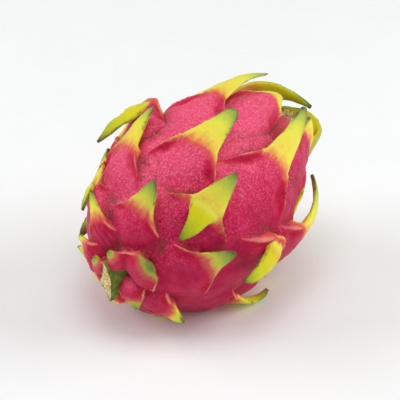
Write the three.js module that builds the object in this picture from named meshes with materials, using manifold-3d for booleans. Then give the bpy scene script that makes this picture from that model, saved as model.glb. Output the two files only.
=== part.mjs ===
// A whole dragon fruit lying on its side, crown end raised a little.
// Built along its own axis (+X from the cut stem to the crown), then tipped and set down on z = 0.
// All lengths are millimetres and all angles are degrees.
import * as THREE from "three";
import { mergeVertices } from "three/addons/utils/BufferGeometryUtils.js";
import Module from "manifold-3d";

// ---- the bare flesh under the scales
const STEM_REACH = 56.5; // from the middle of the fruit to its stem end
const CROWN_REACH = 55.0; // from the middle of the fruit to its crown end
const GIRTH_RADIUS = 39.0; // bare radius at the widest section
const WIDEST_AT = -8.0; // station of the widest section
const STEM_FULLNESS = 1.95; // 2 is an ellipse, more is blunter
const CROWN_FULLNESS = 1.9;
const BODY_RINGS = 14;
const BODY_SPOKES = 22;

// ---- the hollow in the crown and the dimple at the stem
const HOLLOW_AT = 60.0;
const HOLLOW_DEPTH = 20.0;
const HOLLOW_RADIUS = 15.5;
const DIMPLE_AT = -60.5;
const DIMPLE_DEPTH = 10.0;
const DIMPLE_RADIUS = 8.0;

// ---- how the fruit lies
const PITCH = 13.0; // the crown end is raised by this much
const REST_HEIGHT = 40.1; // the middle of the fruit above the table before it is squashed flat

// ---- every scale
const ROOT_DEPTH = 2.4; // how far a scale is sunk into the flesh
const ARM_END = 0.2; // height of the ridge at the end of an arm, against the middle
const EDGE_SINK = 0.9; // the sides of a ramp end this far under the skin
const LIP_HEIGHT = 1.0; // the rolled edge along the arms of a ridge
const LIP_WIDTH = 1.3;
const TROUGH_DEPTH = 1.7; // the hollow behind that edge
const TROUGH_AT = 3.2;
const TROUGH_WIDTH = 2.0;
const TIP_HALF_WIDTH = 0.8;
const TIP_THICKNESS = 1.9;
const BACK_RADIUS = 10.0; // the back of a free blade is rounded to this
const FLARE_LEFT = 0.36; // half width of a blade near its tip, against its root
const ROOT_BACK = 3.5; // the root of a blade that is bent back lies this far behind the ridge
const ROOT_SINK = 1.6; // and this deep in it
const RIM_SHARE = 0.42; // thickness at the rim of a blade against its middle
const SKIN_BEND = 44.0; // a scale is laid on the skin as if wrapped round this radius
const SHOULDER_ROWS = 3;
const bladeRowsFor = (long) => (long < 3 ? 1 : long < 12 ? 3 : long < 26 ? 4 : 5);

// One scale is a ramp that climbs from the stem side to a ridge with two arms, and a free blade beyond.
//   at, turn: station of the blade's root along the axis, and its angle round the axis from the top
//   wide: half the span of the ridge; arm: how far its ends run back; rise: height of the ridge
//   ramp: length of the ramp; lean: the scale's own turn on the skin; puff: how far the ramp swells
//   base, long, thick: half width at the root, length and thickness of the blade
//   point: 0 for a rounded tip, 1 for a sharp one
//   lift: angle of the blade to the skin where it starts; curl: how far it bends out (+) or in (-)
//   side: how far the blade bends sideways; twist: how far it turns about its own middle line
//   waist: how much the root is drawn in
//   back: a second blade bent back over the ramp, towards the stem
const PLAIN = {
  wide: 15, arm: 10, rise: 3.6, ramp: 26, lean: 0, puff: 0.8,
  base: 6.5, long: 20, thick: 3.4, lift: 14, curl: 0, side: 0, point: 0.4, twist: 0, waist: 0,
};
// the lip left where a blade is bent back
const STUMP = { base: 6, long: 1.2, lift: 12, thick: 3.0, point: 0 };
const SCALES = [
  // seen from the front, middle of the fruit
  { name: "star", at: -27, turn: 46, wide: 17, arm: 5, rise: 5.4, lean: -9, puff: 0.2, base: 7.6,
    long: 17.5, back: { base: 8, long: 21.5, lift: 7, curl: -24, side: 4, waist: 0.6 } },
  { name: "upper", at: -10, turn: 18, wide: 18, arm: 12, rise: 4.6, puff: 0.2, base: 8.6, long: 23,
    lift: 7, side: 9, point: 0.05 },
  { name: "top_left", at: -20, turn: 335, wide: 17, arm: 13, rise: 4.2, lean: 8, base: 7.2, lift: 10,
    curl: -6, side: 20, point: 0.2 },
  { name: "lower", at: -38, turn: 79, wide: 16, arm: 7, rise: 4.2, lean: -8, puff: 1.4, base: 7.4,
    long: 13, lift: 10 },
  { name: "left", at: -42, turn: 12, wide: 13, arm: 5, rise: 4.4, ramp: 18, lean: 6, puff: 1.6,
    base: 6.4, long: 13.5, lift: 9 },
  { name: "right_back", at: -5, turn: 94, wide: 19, arm: 9, rise: 6, lean: -30, puff: -0.8, ...STUMP,
    back: { base: 7.2, long: 27, lift: 3, curl: -20, side: 48, twist: -10, waist: 0.2 } },
  { name: "top_back", at: 4.5, turn: 326, wide: 14, arm: 8, rise: 9, puff: 1.6, ...STUMP,
    back: { base: 6.2, long: 33, lift: -2, curl: -8, side: 4, twist: 24, waist: 0.2 } },
  { name: "top_long", at: 21, turn: 354, wide: 18, arm: 13, rise: 4.2, ramp: 32, base: 6.6, long: 36,
    lift: 17, curl: -31, side: 10, point: 0 },
  { name: "big_right", at: 12, turn: 56, wide: 21, arm: 17, rise: 4.8, ramp: 34, lean: -10, puff: 0.2,
    base: 7.8, long: 30, lift: 12, curl: -8, side: -8 },
  { name: "edge_right", at: 12.5, turn: 113, arm: 12, rise: 7.3, ramp: 28, puff: 2.4, base: 6.4,
    long: 33, lift: 16, curl: -60, side: -16, twist: 20 },
  { name: "low_right", at: -21, turn: 141, wide: 14, arm: 6, base: 6, long: 21, lift: 44, curl: -64,
    side: -12, twist: -20 },
  // towards the stem
  { name: "foot", at: -49, turn: 131, wide: 11, arm: 5, ramp: 13, puff: 1.4, base: 6, long: 9,
    lift: 30 },
  { name: "cheek", at: -48, turn: 332, wide: 10, arm: 5, rise: 4.4, ramp: 12, puff: 2, base: 4.5,
    long: 13, lift: 18 },
  { name: "far_star", at: -34, turn: 314, wide: 12, arm: 6, ramp: 18, puff: 1.4, base: 5, long: 18,
    lift: -6, back: { base: 4.5, long: 18, lift: 10, curl: -10, side: -6 } },
  { name: "chin", at: -52, turn: 294, wide: 9, arm: 4, rise: 4.4, ramp: 10, puff: 2, base: 4.6, long: 8,
    lift: 6 },
  { name: "pillow", at: -51.5, turn: 54, wide: 11.5, arm: 7, rise: 5.6, ramp: 11.5, puff: 3.4,
    long: 2.5, lift: -8, point: 0.1 },
  { name: "lobe_top", at: -54.3, turn: 2, wide: 7, arm: 4, rise: 4.8, ramp: 7, lean: -50, puff: 3.6,
    base: 4.6, long: 3.5, thick: 3, lift: 0, point: 0.1 },
  { name: "lobe_left", at: -55, turn: 302, wide: 6.5, arm: 4, rise: 4.8, ramp: 6.5, lean: 20, puff: 3.6,
    base: 4.6, long: 3, thick: 3, lift: -4, point: 0 },
  { name: "lobe_low", at: -55.2, turn: 128, wide: 6.4, arm: 4, rise: 4.8, ramp: 7, lean: 40, puff: 3.6,
    base: 4.2, long: 5, thick: 3, point: 0.5 },
  { name: "lobe_far", at: -54.5, turn: 196, wide: 7, arm: 4, rise: 4, ramp: 6.5, puff: 1.8, base: 4,
    long: 6, thick: 3, lift: 8 },
  { name: "lobe_back", at: -54, turn: 246, wide: 6, arm: 4, rise: 3, ramp: 6.5, puff: 1, base: 4,
    long: 5, thick: 3, lift: 4 },
  // the crown
  { name: "torn", at: 37, turn: 19, wide: 13, arm: 12, rise: 4.2, ramp: 44, base: 9.4, long: 15,
    thick: 3, lift: 20, curl: -34, point: 0 },
  { name: "crown_a", at: 36, turn: 77, wide: 13, arm: 12, rise: 2.2, ramp: 28, puff: 0, base: 8,
    long: 28, curl: -22, side: -2 },
  { name: "crown_b", at: 45, turn: 103, wide: 9, rise: 2.4, ramp: 30, puff: 0, base: 7, long: 42,
    lift: 52, curl: -136, twist: -50 },
  { name: "crown_arc", at: 41, turn: 322, wide: 12, rise: 2.6, ramp: 30, base: 7.4, long: 45, lift: 22,
    curl: -62, side: 26, twist: 34 },
  { name: "inner_a", at: 39, turn: 50, wide: 11, arm: 8, rise: 2.4, ramp: 20, base: 8, long: 7.5,
    lift: 0, curl: -20 },
  // the side away from the front
  { name: "under_stem", at: -44, turn: 170, wide: 11, arm: 6, ramp: 14, puff: 1, base: 4.5, long: 9,
    lift: 4 },
  { name: "far_low", at: -37, turn: 218, arm: 7, rise: 4.2, puff: 1.4, base: 6, long: 13 },
  { name: "far_cheek", at: -46, turn: 256, wide: 12, arm: 6, rise: 4.2, ramp: 14, puff: 1.8, base: 5,
    long: 11, lift: 16 },
  { name: "under_front", at: -26, turn: 157, wide: 13, arm: 7, base: 5, long: 12, lift: 0 },
  { name: "under_back", at: -19, turn: 208, wide: 14, arm: 8, base: 5.5, long: 15, lift: 2 },
  { name: "far_middle", at: -24, turn: 262, wide: 17, arm: 6, rise: 4.4, puff: 1.2, long: 17, lift: 20,
    back: { base: 6, long: 20, lift: 6, curl: -20, side: -4 } },
  { name: "side_low", at: -1, turn: 143, wide: 17, rise: 4.6, puff: 2.6, base: 6, long: 18 },
  { name: "far_belly", at: 3, turn: 232, wide: 18, arm: 11, rise: 4.4, base: 7, long: 23, lift: 18,
    curl: -6 },
  { name: "far_upper", at: -6, turn: 294, wide: 18, rise: 4.4, base: 7, long: 23, lift: 18, curl: -6 },
  { name: "prop", at: 7, turn: 186, base: 7.5, long: 26, thick: 4, lift: 46, curl: -52 },
  { name: "far_back", at: 16, turn: 262, rise: 4.2, ...STUMP,
    back: { base: 6, long: 28, lift: 6, curl: -24, side: 6 } },
  { name: "low_crown", at: 28, turn: 146, wide: 14, arm: 12, long: 27, lift: 20, curl: -30 },
  { name: "far_crown", at: 29, turn: 214, wide: 14, arm: 12, long: 29, lift: 22, curl: -36 },
  { name: "back_crown", at: 28, turn: 296, arm: 12, base: 7, long: 30, lift: 22, curl: -30 },
  { name: "inner_b", at: 43, turn: 168, wide: 12, arm: 8, rise: 3, ramp: 22, long: 27, curl: -60 },
  { name: "inner_c", at: 42, turn: 238, wide: 12, arm: 8, rise: 3, ramp: 22, long: 30, lift: 18,
    curl: -74 },
  { name: "inner_d", at: 45, turn: 290, wide: 10, arm: 7, rise: 3, ramp: 16, base: 6, long: 22,
    curl: -66 },
];

// ---- the cut end of the three-ribbed cactus stem: angle and reach round its outline
const STUB_OUTLINE = [
  [356, 11.5], [12, 8.0], [40, 5.0], [90, 4.0], [140, 4.6], [166, 8.0], [178, 11.5], [192, 7.0],
  [225, 5.2], [268, 7.4], [300, 5.0], [340, 7.0],
];
const STUB_ROOT_AT = -49.0;
const STUB_CUT_AT = -61.5;
const STUB_RINGS = [[0, 0.9], [0.45, 1.0], [1, 0.95]]; // share of the way to the cut, share of the reach
const STUB_NARROWING = 0.5; // how much narrower the cut face is across
const STUB_SLOPE = 0.1; // how the cut face leans
const STUB_YAW = -0.12;
const STUB_TILT = 3.0; // how far the cut face sits off the axis
const FIT_GAP = 0.35; // air kept between two pieces

// ---- the dried flower in the crown hollow
const REMAINS_FROM = 40.8;
const REMAINS_LONG = 17.5;
const REMAINS_RADIUS = 5.8;
const REMAINS_WALL = 1.3;
const REMAINS_DEPTH = 9.0; // of the cup inside
const REMAINS_GAP = 0.5;
const REMAINS_SPOKES = 18;
const REMAINS_LEAN = 20.0;
const REMAINS_OUT = 1.2; // how far it leans out of the hollow, and down
const REMAINS_DOWN = 0.25;

const V = (x, y, z) => new THREE.Vector3(x, y, z);
const rad = THREE.MathUtils.degToRad;
const clamp = THREE.MathUtils.clamp;
const mix = THREE.MathUtils.lerp;
const ease = (x) => x * x * (3 - 2 * x);
const stepUp = (x, low, high) => ease(clamp((x - low) / (high - low), 0, 1));

const wasm = await Module();
wasm.setup();

// Radius of the bare flesh at a station.
function reachShare(x) {
  return x < WIDEST_AT
    ? (WIDEST_AT - x) / (WIDEST_AT + STEM_REACH)
    : (x - WIDEST_AT) / (CROWN_REACH - WIDEST_AT);
}
function flesh(x, r) {
  const p = x < WIDEST_AT ? STEM_FULLNESS : CROWN_FULLNESS;
  return (r / GIRTH_RADIUS) ** 2 + Math.max(reachShare(x), 0) ** p - 1;
}

// The point of the bare skin that a point lies over, and the skin's normal there.
function skin(point) {
  const heart = V(0.55 * point.x, 0, 0);
  const out = point.clone().sub(heart);
  let near = 0;
  let far = 4;
  for (let i = 0; i < 40; i++) {
    const k = (near + far) / 2;
    const p = heart.clone().addScaledVector(out, k);
    if (flesh(p.x, Math.hypot(p.y, p.z)) < 0) near = k;
    else far = k;
  }
  const foot = heart.addScaledVector(out, near);
  return { foot, normal: normalAt(foot) };
}
function normalAt(foot) {
  const r = Math.max(Math.hypot(foot.y, foot.z), 1e-6);
  const step = 0.01;
  const alongX = (flesh(foot.x + step, r) - flesh(foot.x - step, r)) / (2 * step);
  const alongR = (2 * r) / GIRTH_RADIUS ** 2;
  return V(alongX, (alongR * foot.y) / r, (alongR * foot.z) / r).normalize();
}
function radiusAt(x) {
  const p = x < WIDEST_AT ? STEM_FULLNESS : CROWN_FULLNESS;
  return GIRTH_RADIUS * Math.sqrt(Math.max(1 - Math.max(reachShare(x), 0) ** p, 0));
}

// A closed solid from a grid of top points over a coarser grid of bottom points, row for row.
function slab(top, bottom) {
  const rows = top.length;
  const wide = top[0].length;
  const thin = bottom[0].length;
  const positions = [];
  for (const grid of [top, bottom]) {
    for (const row of grid) for (const p of row) positions.push(p.x, p.y, p.z);
  }
  const index = [];
  const t = (i, j) => i * wide + j;
  const b = (i, j) => rows * wide + i * thin + j;
  const quad = (p, q, r, s) => index.push(p, q, r, p, r, s);
  for (let i = 0; i < rows - 1; i++) {
    for (let j = 0; j < wide - 1; j++) quad(t(i, j), t(i + 1, j), t(i + 1, j + 1), t(i, j + 1));
    for (let j = 0; j < thin - 1; j++) quad(b(i, j), b(i, j + 1), b(i + 1, j + 1), b(i + 1, j));
    quad(t(i, 0), b(i, 0), b(i + 1, 0), t(i + 1, 0));
    quad(t(i, wide - 1), t(i + 1, wide - 1), b(i + 1, thin - 1), b(i, thin - 1));
  }
  for (const [i, outward] of [[0, true], [rows - 1, false]]) {
    const face = (p, q, r) => (outward ? index.push(p, q, r) : index.push(p, r, q));
    let k = 0;
    for (let j = 0; j < wide - 1; j++) {
      face(t(i, j), t(i, j + 1), b(i, k));
      if ((j + 1.5) / (wide - 1) > (k + 0.5) / (thin - 1) && k < thin - 1) {
        face(b(i, k), t(i, j + 1), b(i, k + 1));
        k++;
      }
    }
    for (; k < thin - 1; k++) face(b(i, k), t(i, wide - 1), b(i, k + 1));
  }
  return solid(positions, index);
}

function solid(positions, index) {
  const geometry = new THREE.BufferGeometry();
  geometry.setAttribute("position", new THREE.Float32BufferAttribute(positions, 3));
  geometry.setIndex(index);
  return fromGeometry(geometry);
}

function fromGeometry(geometry) {
  geometry.deleteAttribute("normal");
  geometry.deleteAttribute("uv");
  const merged = mergeVertices(geometry, 1e-4);
  const tri = new Uint32Array(merged.index.array);
  const build = () =>
    new wasm.Manifold(
      new wasm.Mesh({ numProp: 3, vertProperties: merged.attributes.position.array, triVerts: tri }),
    );
  let made = build();
  if (made.volume() < 0) {
    for (let i = 0; i < tri.length; i += 3) [tri[i], tri[i + 1]] = [tri[i + 1], tri[i]];
    made = build();
  }
  return made;
}

// The frame of a scale: the skin under its root, with directions to the crown, across and out.
function frameOf(at, turn, lean) {
  const a = rad(turn);
  const foot = V(at, -radiusAt(at) * Math.sin(a), radiusAt(at) * Math.cos(a));
  const normal = normalAt(foot);
  const across = V(0, -Math.cos(a), -Math.sin(a));
  const ahead = across.clone().cross(normal).normalize();
  if (ahead.x < 0) ahead.negate();
  ahead.applyAxisAngle(normal, rad(-lean));
  across.applyAxisAngle(normal, rad(-lean));
  return { foot, normal, ahead, across };
}

// One row of points for q from -1 to 1, closer together towards the rims.
const across = (n, make) =>
  Array.from({ length: n + 1 }, (_, j) => {
    const q = (2 * j) / n - 1;
    return make(Math.sign(q) * Math.abs(q) ** 0.8);
  });

// Half width of a blade at a share of its length, from a flared root to its tip.
function outlineAt(b, t) {
  const start = 0.82 - 0.5 * b.point;
  const end = clamp((t - start) / (1 - start), 0, 1);
  const flare = FLARE_LEFT + (1 - FLARE_LEFT) * (1 - t) ** 1.6;
  const root = 1 - b.waist * (1 - ease(Math.min(4 * t, 1)));
  return b.base * root * flare * (1 - end * end) ** (0.5 + 0.35 * b.point);
}

// Points of a free blade: rows of top and bottom points from its root to its tip.
function bladeRows(frame, start, b, rows, cols, thin, spread, sink) {
  const top = [];
  const bottom = [];
  const here = start.clone();
  const steps = 8;
  const share = (i) => 1 - (1 - i / rows) ** 1.25;
  for (let i = 0; i <= rows; i++) {
    const t = share(i);
    const lift = rad(b.lift + b.curl * t);
    const side = rad(b.side * t);
    const way = frame.ahead.clone().applyAxisAngle(frame.normal, -side);
    const wing = frame.across.clone().applyAxisAngle(frame.normal, -side);
    const up = frame.normal.clone().multiplyScalar(Math.cos(lift));
    up.addScaledVector(way, -Math.sin(lift));
    const turn = rad(b.twist * ease(Math.min(2 * t, 1)));
    const line = wing.clone();
    wing.multiplyScalar(Math.cos(turn)).addScaledVector(up, Math.sin(turn));
    up.multiplyScalar(Math.cos(turn)).addScaledVector(line, -Math.sin(turn));
    const round = mix(1 / spread, 1 / BACK_RADIUS, ease(Math.min(2.5 * t, 1)));
    const half = Math.max(outlineAt(b, t), TIP_HALF_WIDTH);
    const deep = sink * (1 - ease(Math.min(t * 4.5, 1)));
    const thick = mix(b.thick, TIP_THICKNESS, t ** 0.8);
    const point = (q, under) => {
      const u = q * half;
      const sag = (u * u * round) / 2;
      const rim = Math.max(thick * (1 - (1 - RIM_SHARE) * q * q), 0.7);
      const at = here.clone().addScaledVector(wing, u).addScaledVector(up, -sag - under * rim);
      return at.addScaledVector(frame.normal, -deep);
    };
    top.push(across(cols, (q) => point(q, 0)));
    bottom.push(across(thin, (q) => point(q, 1)));
    for (let k = 0; k < steps && i < rows; k++) {
      const part = mix(t, share(i + 1), (k + 0.5) / steps);
      const s = rad(b.lift + b.curl * part);
      const go = frame.ahead.clone().applyAxisAngle(frame.normal, -rad(b.side * part));
      const step = (b.long * (share(i + 1) - t)) / steps;
      here.addScaledVector(go, Math.cos(s) * step);
      here.addScaledVector(frame.normal, Math.sin(s) * step);
    }
  }
  return { top, bottom };
}

// Ramp, ridge and forward blade of a scale, as one closed solid.
function scaleSolid(spec) {
  const s = { ...PLAIN, ...spec };
  const cols = s.wide >= 17 ? 6 : 4;
  const thin = s.base > 5.5 ? 3 : 2;
  const frame = frameOf(s.at, s.turn, s.lean);
  const spread = Math.max(Math.hypot(frame.foot.y, frame.foot.z), 14);
  const slant = s.arm / Math.hypot(s.arm, s.wide - s.base);
  const root = Math.max(s.base, s.back ? s.back.base : 0);
  const top = [];
  const bottom = [];
  const stations = [];
  const rampRows = s.ramp < 15 ? 2 : 3;
  for (let i = 0; i < rampRows; i++) stations.push(mix(-s.ramp, -s.arm, i / rampRows));
  for (let i = 0; i < SHOULDER_ROWS; i++) stations.push(-s.arm * (1 - i / SHOULDER_ROWS) ** 1.3);
  for (const t of stations) {
    const climb = (t + s.ramp) / s.ramp;
    const swell = s.puff * (1 - (2 * climb - 1) ** 2) ** 0.75 * (1.2 - 0.4 * climb);
    const middle = mix(-0.6, s.rise, climb ** 1.6) + swell;
    let half;
    let edge;
    let shoulder = 0;
    if (t < -s.arm) {
      const f = (t + s.ramp) / (s.ramp - s.arm);
      half = s.wide * (1 - 0.4 * (1 - f) ** 1.5);
      edge = mix(-EDGE_SINK, ARM_END * s.rise, f ** 3);
    } else {
      const f = (t + s.arm) / s.arm;
      half = s.base + (s.wide - s.base) * (0.75 * (1 - f) ** 1.5 + 0.25 * (1 - f));
      edge = s.rise * mix(ARM_END, 0.95, f ** 0.6);
      shoulder = stepUp(f, 0, 0.4);
    }
    const place = (u, lift) => {
      const over = frame.foot.clone();
      over.addScaledVector(frame.across, SKIN_BEND * Math.tan(u / SKIN_BEND));
      over.addScaledVector(frame.ahead, SKIN_BEND * Math.tan(t / SKIN_BEND));
      const { foot, normal } = skin(over);
      return foot.addScaledVector(normal, lift);
    };
    const height = (q) => {
      const rim = (1 - Math.abs(q)) * half * slant;
      const lip = LIP_HEIGHT * Math.exp(-((rim / LIP_WIDTH) ** 2));
      const trough = TROUGH_DEPTH * Math.exp(-(((rim - TROUGH_AT) / TROUGH_WIDTH) ** 2));
      const arm = stepUp(Math.abs(q) * half, 0.7 * root, 1.3 * root);
      return mix(middle, edge, Math.abs(q) ** 2.2) + shoulder * arm * (lip - trough);
    };
    top.push(across(cols, (q) => place(q * half, height(q))));
    bottom.push(across(thin, (q) => place(q * half * 0.9, -ROOT_DEPTH)));
  }
  const start = frame.foot.clone().addScaledVector(frame.normal, s.rise);
  const blade = bladeRows(frame, start, s, bladeRowsFor(s.long), cols, thin, spread, 0);
  top.push(...blade.top);
  bottom.push(...blade.bottom);
  return slab(top, bottom);
}

// The blade that is bent back over the ramp, rooted in the ridge.
function backBlade(spec) {
  const s = { ...PLAIN, ...spec };
  const b = { thick: 3.2, lift: 0, curl: 0, side: 0, point: 0.4, twist: 0, waist: 0, ...s.back };
  const frame = frameOf(s.at, s.turn, s.lean + 180);
  const ahead = frame.ahead.clone();
  const start = frame.foot.clone().addScaledVector(frame.normal, s.rise + 0.4);
  start.addScaledVector(ahead, -Math.min(ROOT_BACK, 0.6 * s.long));
  const blade = bladeRows(frame, start, b, bladeRowsFor(b.long), 4, 2, 30, ROOT_SINK);
  return slab(blade.top, blade.bottom);
}

// A body of revolution about the X axis, closed at both ends.
function spun(profile, spokes) {
  const turned = new THREE.LatheGeometry(profile.map(([x, r]) => new THREE.Vector2(r, x)), spokes);
  turned.rotateZ(-Math.PI / 2);
  return fromGeometry(turned);
}

function bareFruit() {
  const profile = [];
  for (let i = 0; i <= BODY_RINGS; i++) {
    const a = mix(-90, 90, i / BODY_RINGS);
    const share = Math.abs(Math.sin(rad(a)));
    const x =
      a < 0
        ? WIDEST_AT - (WIDEST_AT + STEM_REACH) * share ** (2 / STEM_FULLNESS)
        : WIDEST_AT + (CROWN_REACH - WIDEST_AT) * share ** (2 / CROWN_FULLNESS);
    profile.push([x, i === 0 || i === BODY_RINGS ? 0 : GIRTH_RADIUS * Math.cos(rad(a))]);
  }
  return spun(profile, BODY_SPOKES);
}

// An egg-shaped cutter for the hollow at either end.
function scoop(centre, depth, radius) {
  const profile = [];
  for (let i = 0; i <= 8; i++) {
    const a = mix(-90, 90, i / 8);
    profile.push([centre + depth * Math.sin(rad(a)), i % 8 ? radius * Math.cos(rad(a)) : 0]);
  }
  return spun(profile, 18);
}

// Rings of points joined into a closed tube with a cap at each end.
function tube(rings) {
  const n = rings[0].length;
  const positions = [];
  const index = [];
  for (const ring of rings) for (const p of ring) positions.push(p.x, p.y, p.z);
  for (let i = 0; i < rings.length - 1; i++) {
    for (let j = 0; j < n; j++) {
      const a = i * n + j;
      const b = i * n + ((j + 1) % n);
      index.push(a, b, b + n, a, b + n, a + n);
    }
  }
  for (const [k, flip] of [[0, true], [rings.length - 1, false]]) {
    const centre = V(0, 0, 0);
    rings[k].forEach((p) => centre.addScaledVector(p, 1 / n));
    const mid = positions.length / 3;
    positions.push(centre.x, centre.y, centre.z);
    for (let j = 0; j < n; j++) {
      const a = k * n + j;
      const b = k * n + ((j + 1) % n);
      index.push(...(flip ? [mid, b, a] : [mid, a, b]));
    }
  }
  return solid(positions, index);
}

// The ribbed stem piece; a grown copy cuts its seat in the fruit.
function stub(grow) {
  const rings = STUB_RINGS.map(([down, share]) => {
    const flat = STUB_OUTLINE.map(([angle, reach]) => {
      const width = share * (1 - STUB_NARROWING * down);
      return V(0, -reach * width * Math.sin(rad(angle)), reach * share * Math.cos(rad(angle)));
    });
    const outward = flat.map((p, i) => {
      const edge = flat[(i + 1) % flat.length].clone().sub(p).normalize();
      return V(0, edge.z, -edge.y);
    });
    const end = down === 0 ? grow : down === 1 ? -grow : 0;
    return flat.map((p, i) => {
      const corner = outward[i].clone().add(outward.at(i - 1));
      const at = p.addScaledVector(corner, grow / Math.max(1 + outward[i].dot(outward.at(i - 1)), 0.4));
      const x = mix(STUB_ROOT_AT, STUB_CUT_AT, down) + down * (STUB_SLOPE * at.z + STUB_YAW * at.y);
      return V(x + end, at.y + STUB_TILT * down, at.z);
    });
  });
  return tube(rings);
}

// The withered flower: a crumpled cup with a frayed lip; a grown, filled copy cuts its seat.
function remains(grow) {
  const rings = [];
  const ring = (along, radius, crumple) => {
    const points = [];
    const lean = rad(REMAINS_LEAN) * clamp(along / REMAINS_LONG, 0, 1);
    for (let j = 0; j < REMAINS_SPOKES; j++) {
      const a = (2 * Math.PI * j) / REMAINS_SPOKES;
      const fold = crumple * (Math.sin(3 * a + 0.6 + 0.12 * along) + 0.5 * Math.sin(7 * a));
      const r = radius * (1 + fold) + grow;
      const x = REMAINS_FROM + along * Math.cos(lean) + 0.48 * fold * along;
      const off = along * Math.sin(lean);
      const y = -r * Math.sin(a) * 0.86 - REMAINS_OUT * off;
      points.push(V(x, y, r * Math.cos(a) - REMAINS_DOWN * off));
    }
    rings.push(points);
  };
  const outer = [[0, 0.82, 0.02], [0.2, 0.94, 0.05], [0.5, 0.72, 0.12], [0.78, 0.86, 0.2], [1, 1.2, 0.26]];
  if (grow) ring(-grow, REMAINS_RADIUS * outer[0][1], outer[0][2]);
  for (const [t, share, crumple] of outer) ring(t * REMAINS_LONG, REMAINS_RADIUS * share, crumple);
  if (grow) {
    ring(REMAINS_LONG + 2 * grow, REMAINS_RADIUS * outer[4][1], outer[4][2]);
    return tube(rings);
  }
  for (const [t, share, crumple] of outer.slice(2).reverse()) {
    const depth = REMAINS_LONG - (1 - t) * REMAINS_DEPTH * 2;
    ring(Math.min(depth, REMAINS_LONG - 0.1), REMAINS_RADIUS * share - REMAINS_WALL, crumple);
  }
  return tube(rings);
}

function meshOf(name, manifold, colour, roughness) {
  const made = manifold.getMesh();
  const geometry = new THREE.BufferGeometry();
  const points = new Float32Array(made.numVert * 3);
  for (let i = 0; i < made.numVert; i++) {
    points.set(made.vertProperties.subarray(i * made.numProp, i * made.numProp + 3), 3 * i);
  }
  geometry.setAttribute("position", new THREE.BufferAttribute(points, 3));
  geometry.setIndex(new THREE.BufferAttribute(new Uint32Array(made.triVerts), 1));
  const mesh = new THREE.Mesh(
    geometry,
    new THREE.MeshStandardMaterial({ color: colour, roughness, metalness: 0 }),
  );
  mesh.name = name;
  return mesh;
}

// ---- putting the fruit together
let fruit = bareFruit()
  .subtract(scoop(HOLLOW_AT, HOLLOW_DEPTH, HOLLOW_RADIUS))
  .subtract(scoop(DIMPLE_AT, DIMPLE_DEPTH, DIMPLE_RADIUS));
for (const spec of SCALES) {
  fruit = fruit.add(scaleSolid(spec));
  if (spec.back) fruit = fruit.add(backBlade(spec));
}
fruit = fruit.subtract(stub(FIT_GAP)).subtract(remains(REMAINS_GAP));

// ---- setting it down: tipped, and squashed flat where it touches the table
const TABLE_SIZE = 200;
const tip = new THREE.Matrix4().makeRotationY(-rad(PITCH));
const lift = new THREE.Matrix4().makeTranslation(0, 0, REST_HEIGHT);
const placed = (manifold) => manifold.transform(lift.clone().multiply(tip).toArray());
const table = fromGeometry(
  new THREE.BoxGeometry(TABLE_SIZE, TABLE_SIZE, 20).translate(0, 0, -10),
);
fruit = placed(fruit).subtract(table);

const pieces = [
  meshOf("fruit", fruit, 0xc93a68, 0.5),
  meshOf("stem_stub", placed(stub(0)), 0x6f7d2a, 0.7),
  meshOf("flower_remains", placed(remains(0)), 0xc8aa6e, 0.85),
];

// The origin is the middle of the part's box, on the table.
const box = new THREE.Box3();
for (const piece of pieces) box.expandByObject(piece);
const middle = box.getCenter(V(0, 0, 0));
for (const piece of pieces) piece.geometry.translate(-middle.x, -middle.y, -box.min.z);

export default new THREE.Group().add(...pieces);
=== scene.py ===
"""A whole dragon fruit lying on its side on a pale table, under soft light.

The fruit is worked out along its own axis (+X from the cut stem to the crown) in millimetres, then tipped,
set down and centred, and only the finished pieces are in metres.
"""
from __future__ import annotations

import logging
import math
from collections.abc import Callable, Sequence
from dataclasses import dataclass, field
from enum import Enum

import bpy
import numpy as np
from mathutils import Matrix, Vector
from mathutils.bvhtree import BVHTree

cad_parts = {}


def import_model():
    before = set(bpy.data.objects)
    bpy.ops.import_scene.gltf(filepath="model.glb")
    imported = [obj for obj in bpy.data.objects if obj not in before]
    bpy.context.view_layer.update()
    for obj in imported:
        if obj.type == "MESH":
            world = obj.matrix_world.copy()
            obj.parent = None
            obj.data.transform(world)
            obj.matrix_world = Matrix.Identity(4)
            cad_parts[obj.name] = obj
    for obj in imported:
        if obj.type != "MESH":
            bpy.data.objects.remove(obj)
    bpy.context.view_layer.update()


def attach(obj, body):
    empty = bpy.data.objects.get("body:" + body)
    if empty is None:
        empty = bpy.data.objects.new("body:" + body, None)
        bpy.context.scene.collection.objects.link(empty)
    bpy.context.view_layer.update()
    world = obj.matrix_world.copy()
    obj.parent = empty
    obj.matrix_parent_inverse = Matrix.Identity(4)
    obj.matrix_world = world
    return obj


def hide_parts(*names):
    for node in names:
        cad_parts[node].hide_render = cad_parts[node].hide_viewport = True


LOG = logging.getLogger("dragon_fruit")
MM = 0.001  # metres
SEED = 41  # every draw of small unevenness starts from it
OPEN_SKIN = 9.0  # the rim mark where no rim is near, in millimetres

Array = np.ndarray
Colour = tuple[float, float, float]
Frame = tuple[Array, Array, Array, Array]


# ---------------------------------------------------------------------------------------- small mathematics


def unit(v: Array) -> Array:
    """Vectors at length one."""
    return v / np.maximum(np.linalg.norm(v, axis=-1, keepdims=True), 1e-12)


def mix(a: Array | float, b: Array | float, share: Array | float) -> Array:
    """The value share of the way from a to b."""
    return np.asarray(a + (b - a) * share)


def ease(x: Array | float) -> Array:
    """A smooth step from 0 to 1, held outside."""
    x = np.clip(x, 0.0, 1.0)
    return x * x * (3.0 - 2.0 * x)


def step_up(x: Array, low: float, high: float) -> Array:
    """0 below low, 1 above high, smooth between; high may be under low for a step down."""
    return ease((x - low) / (high - low))


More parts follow.
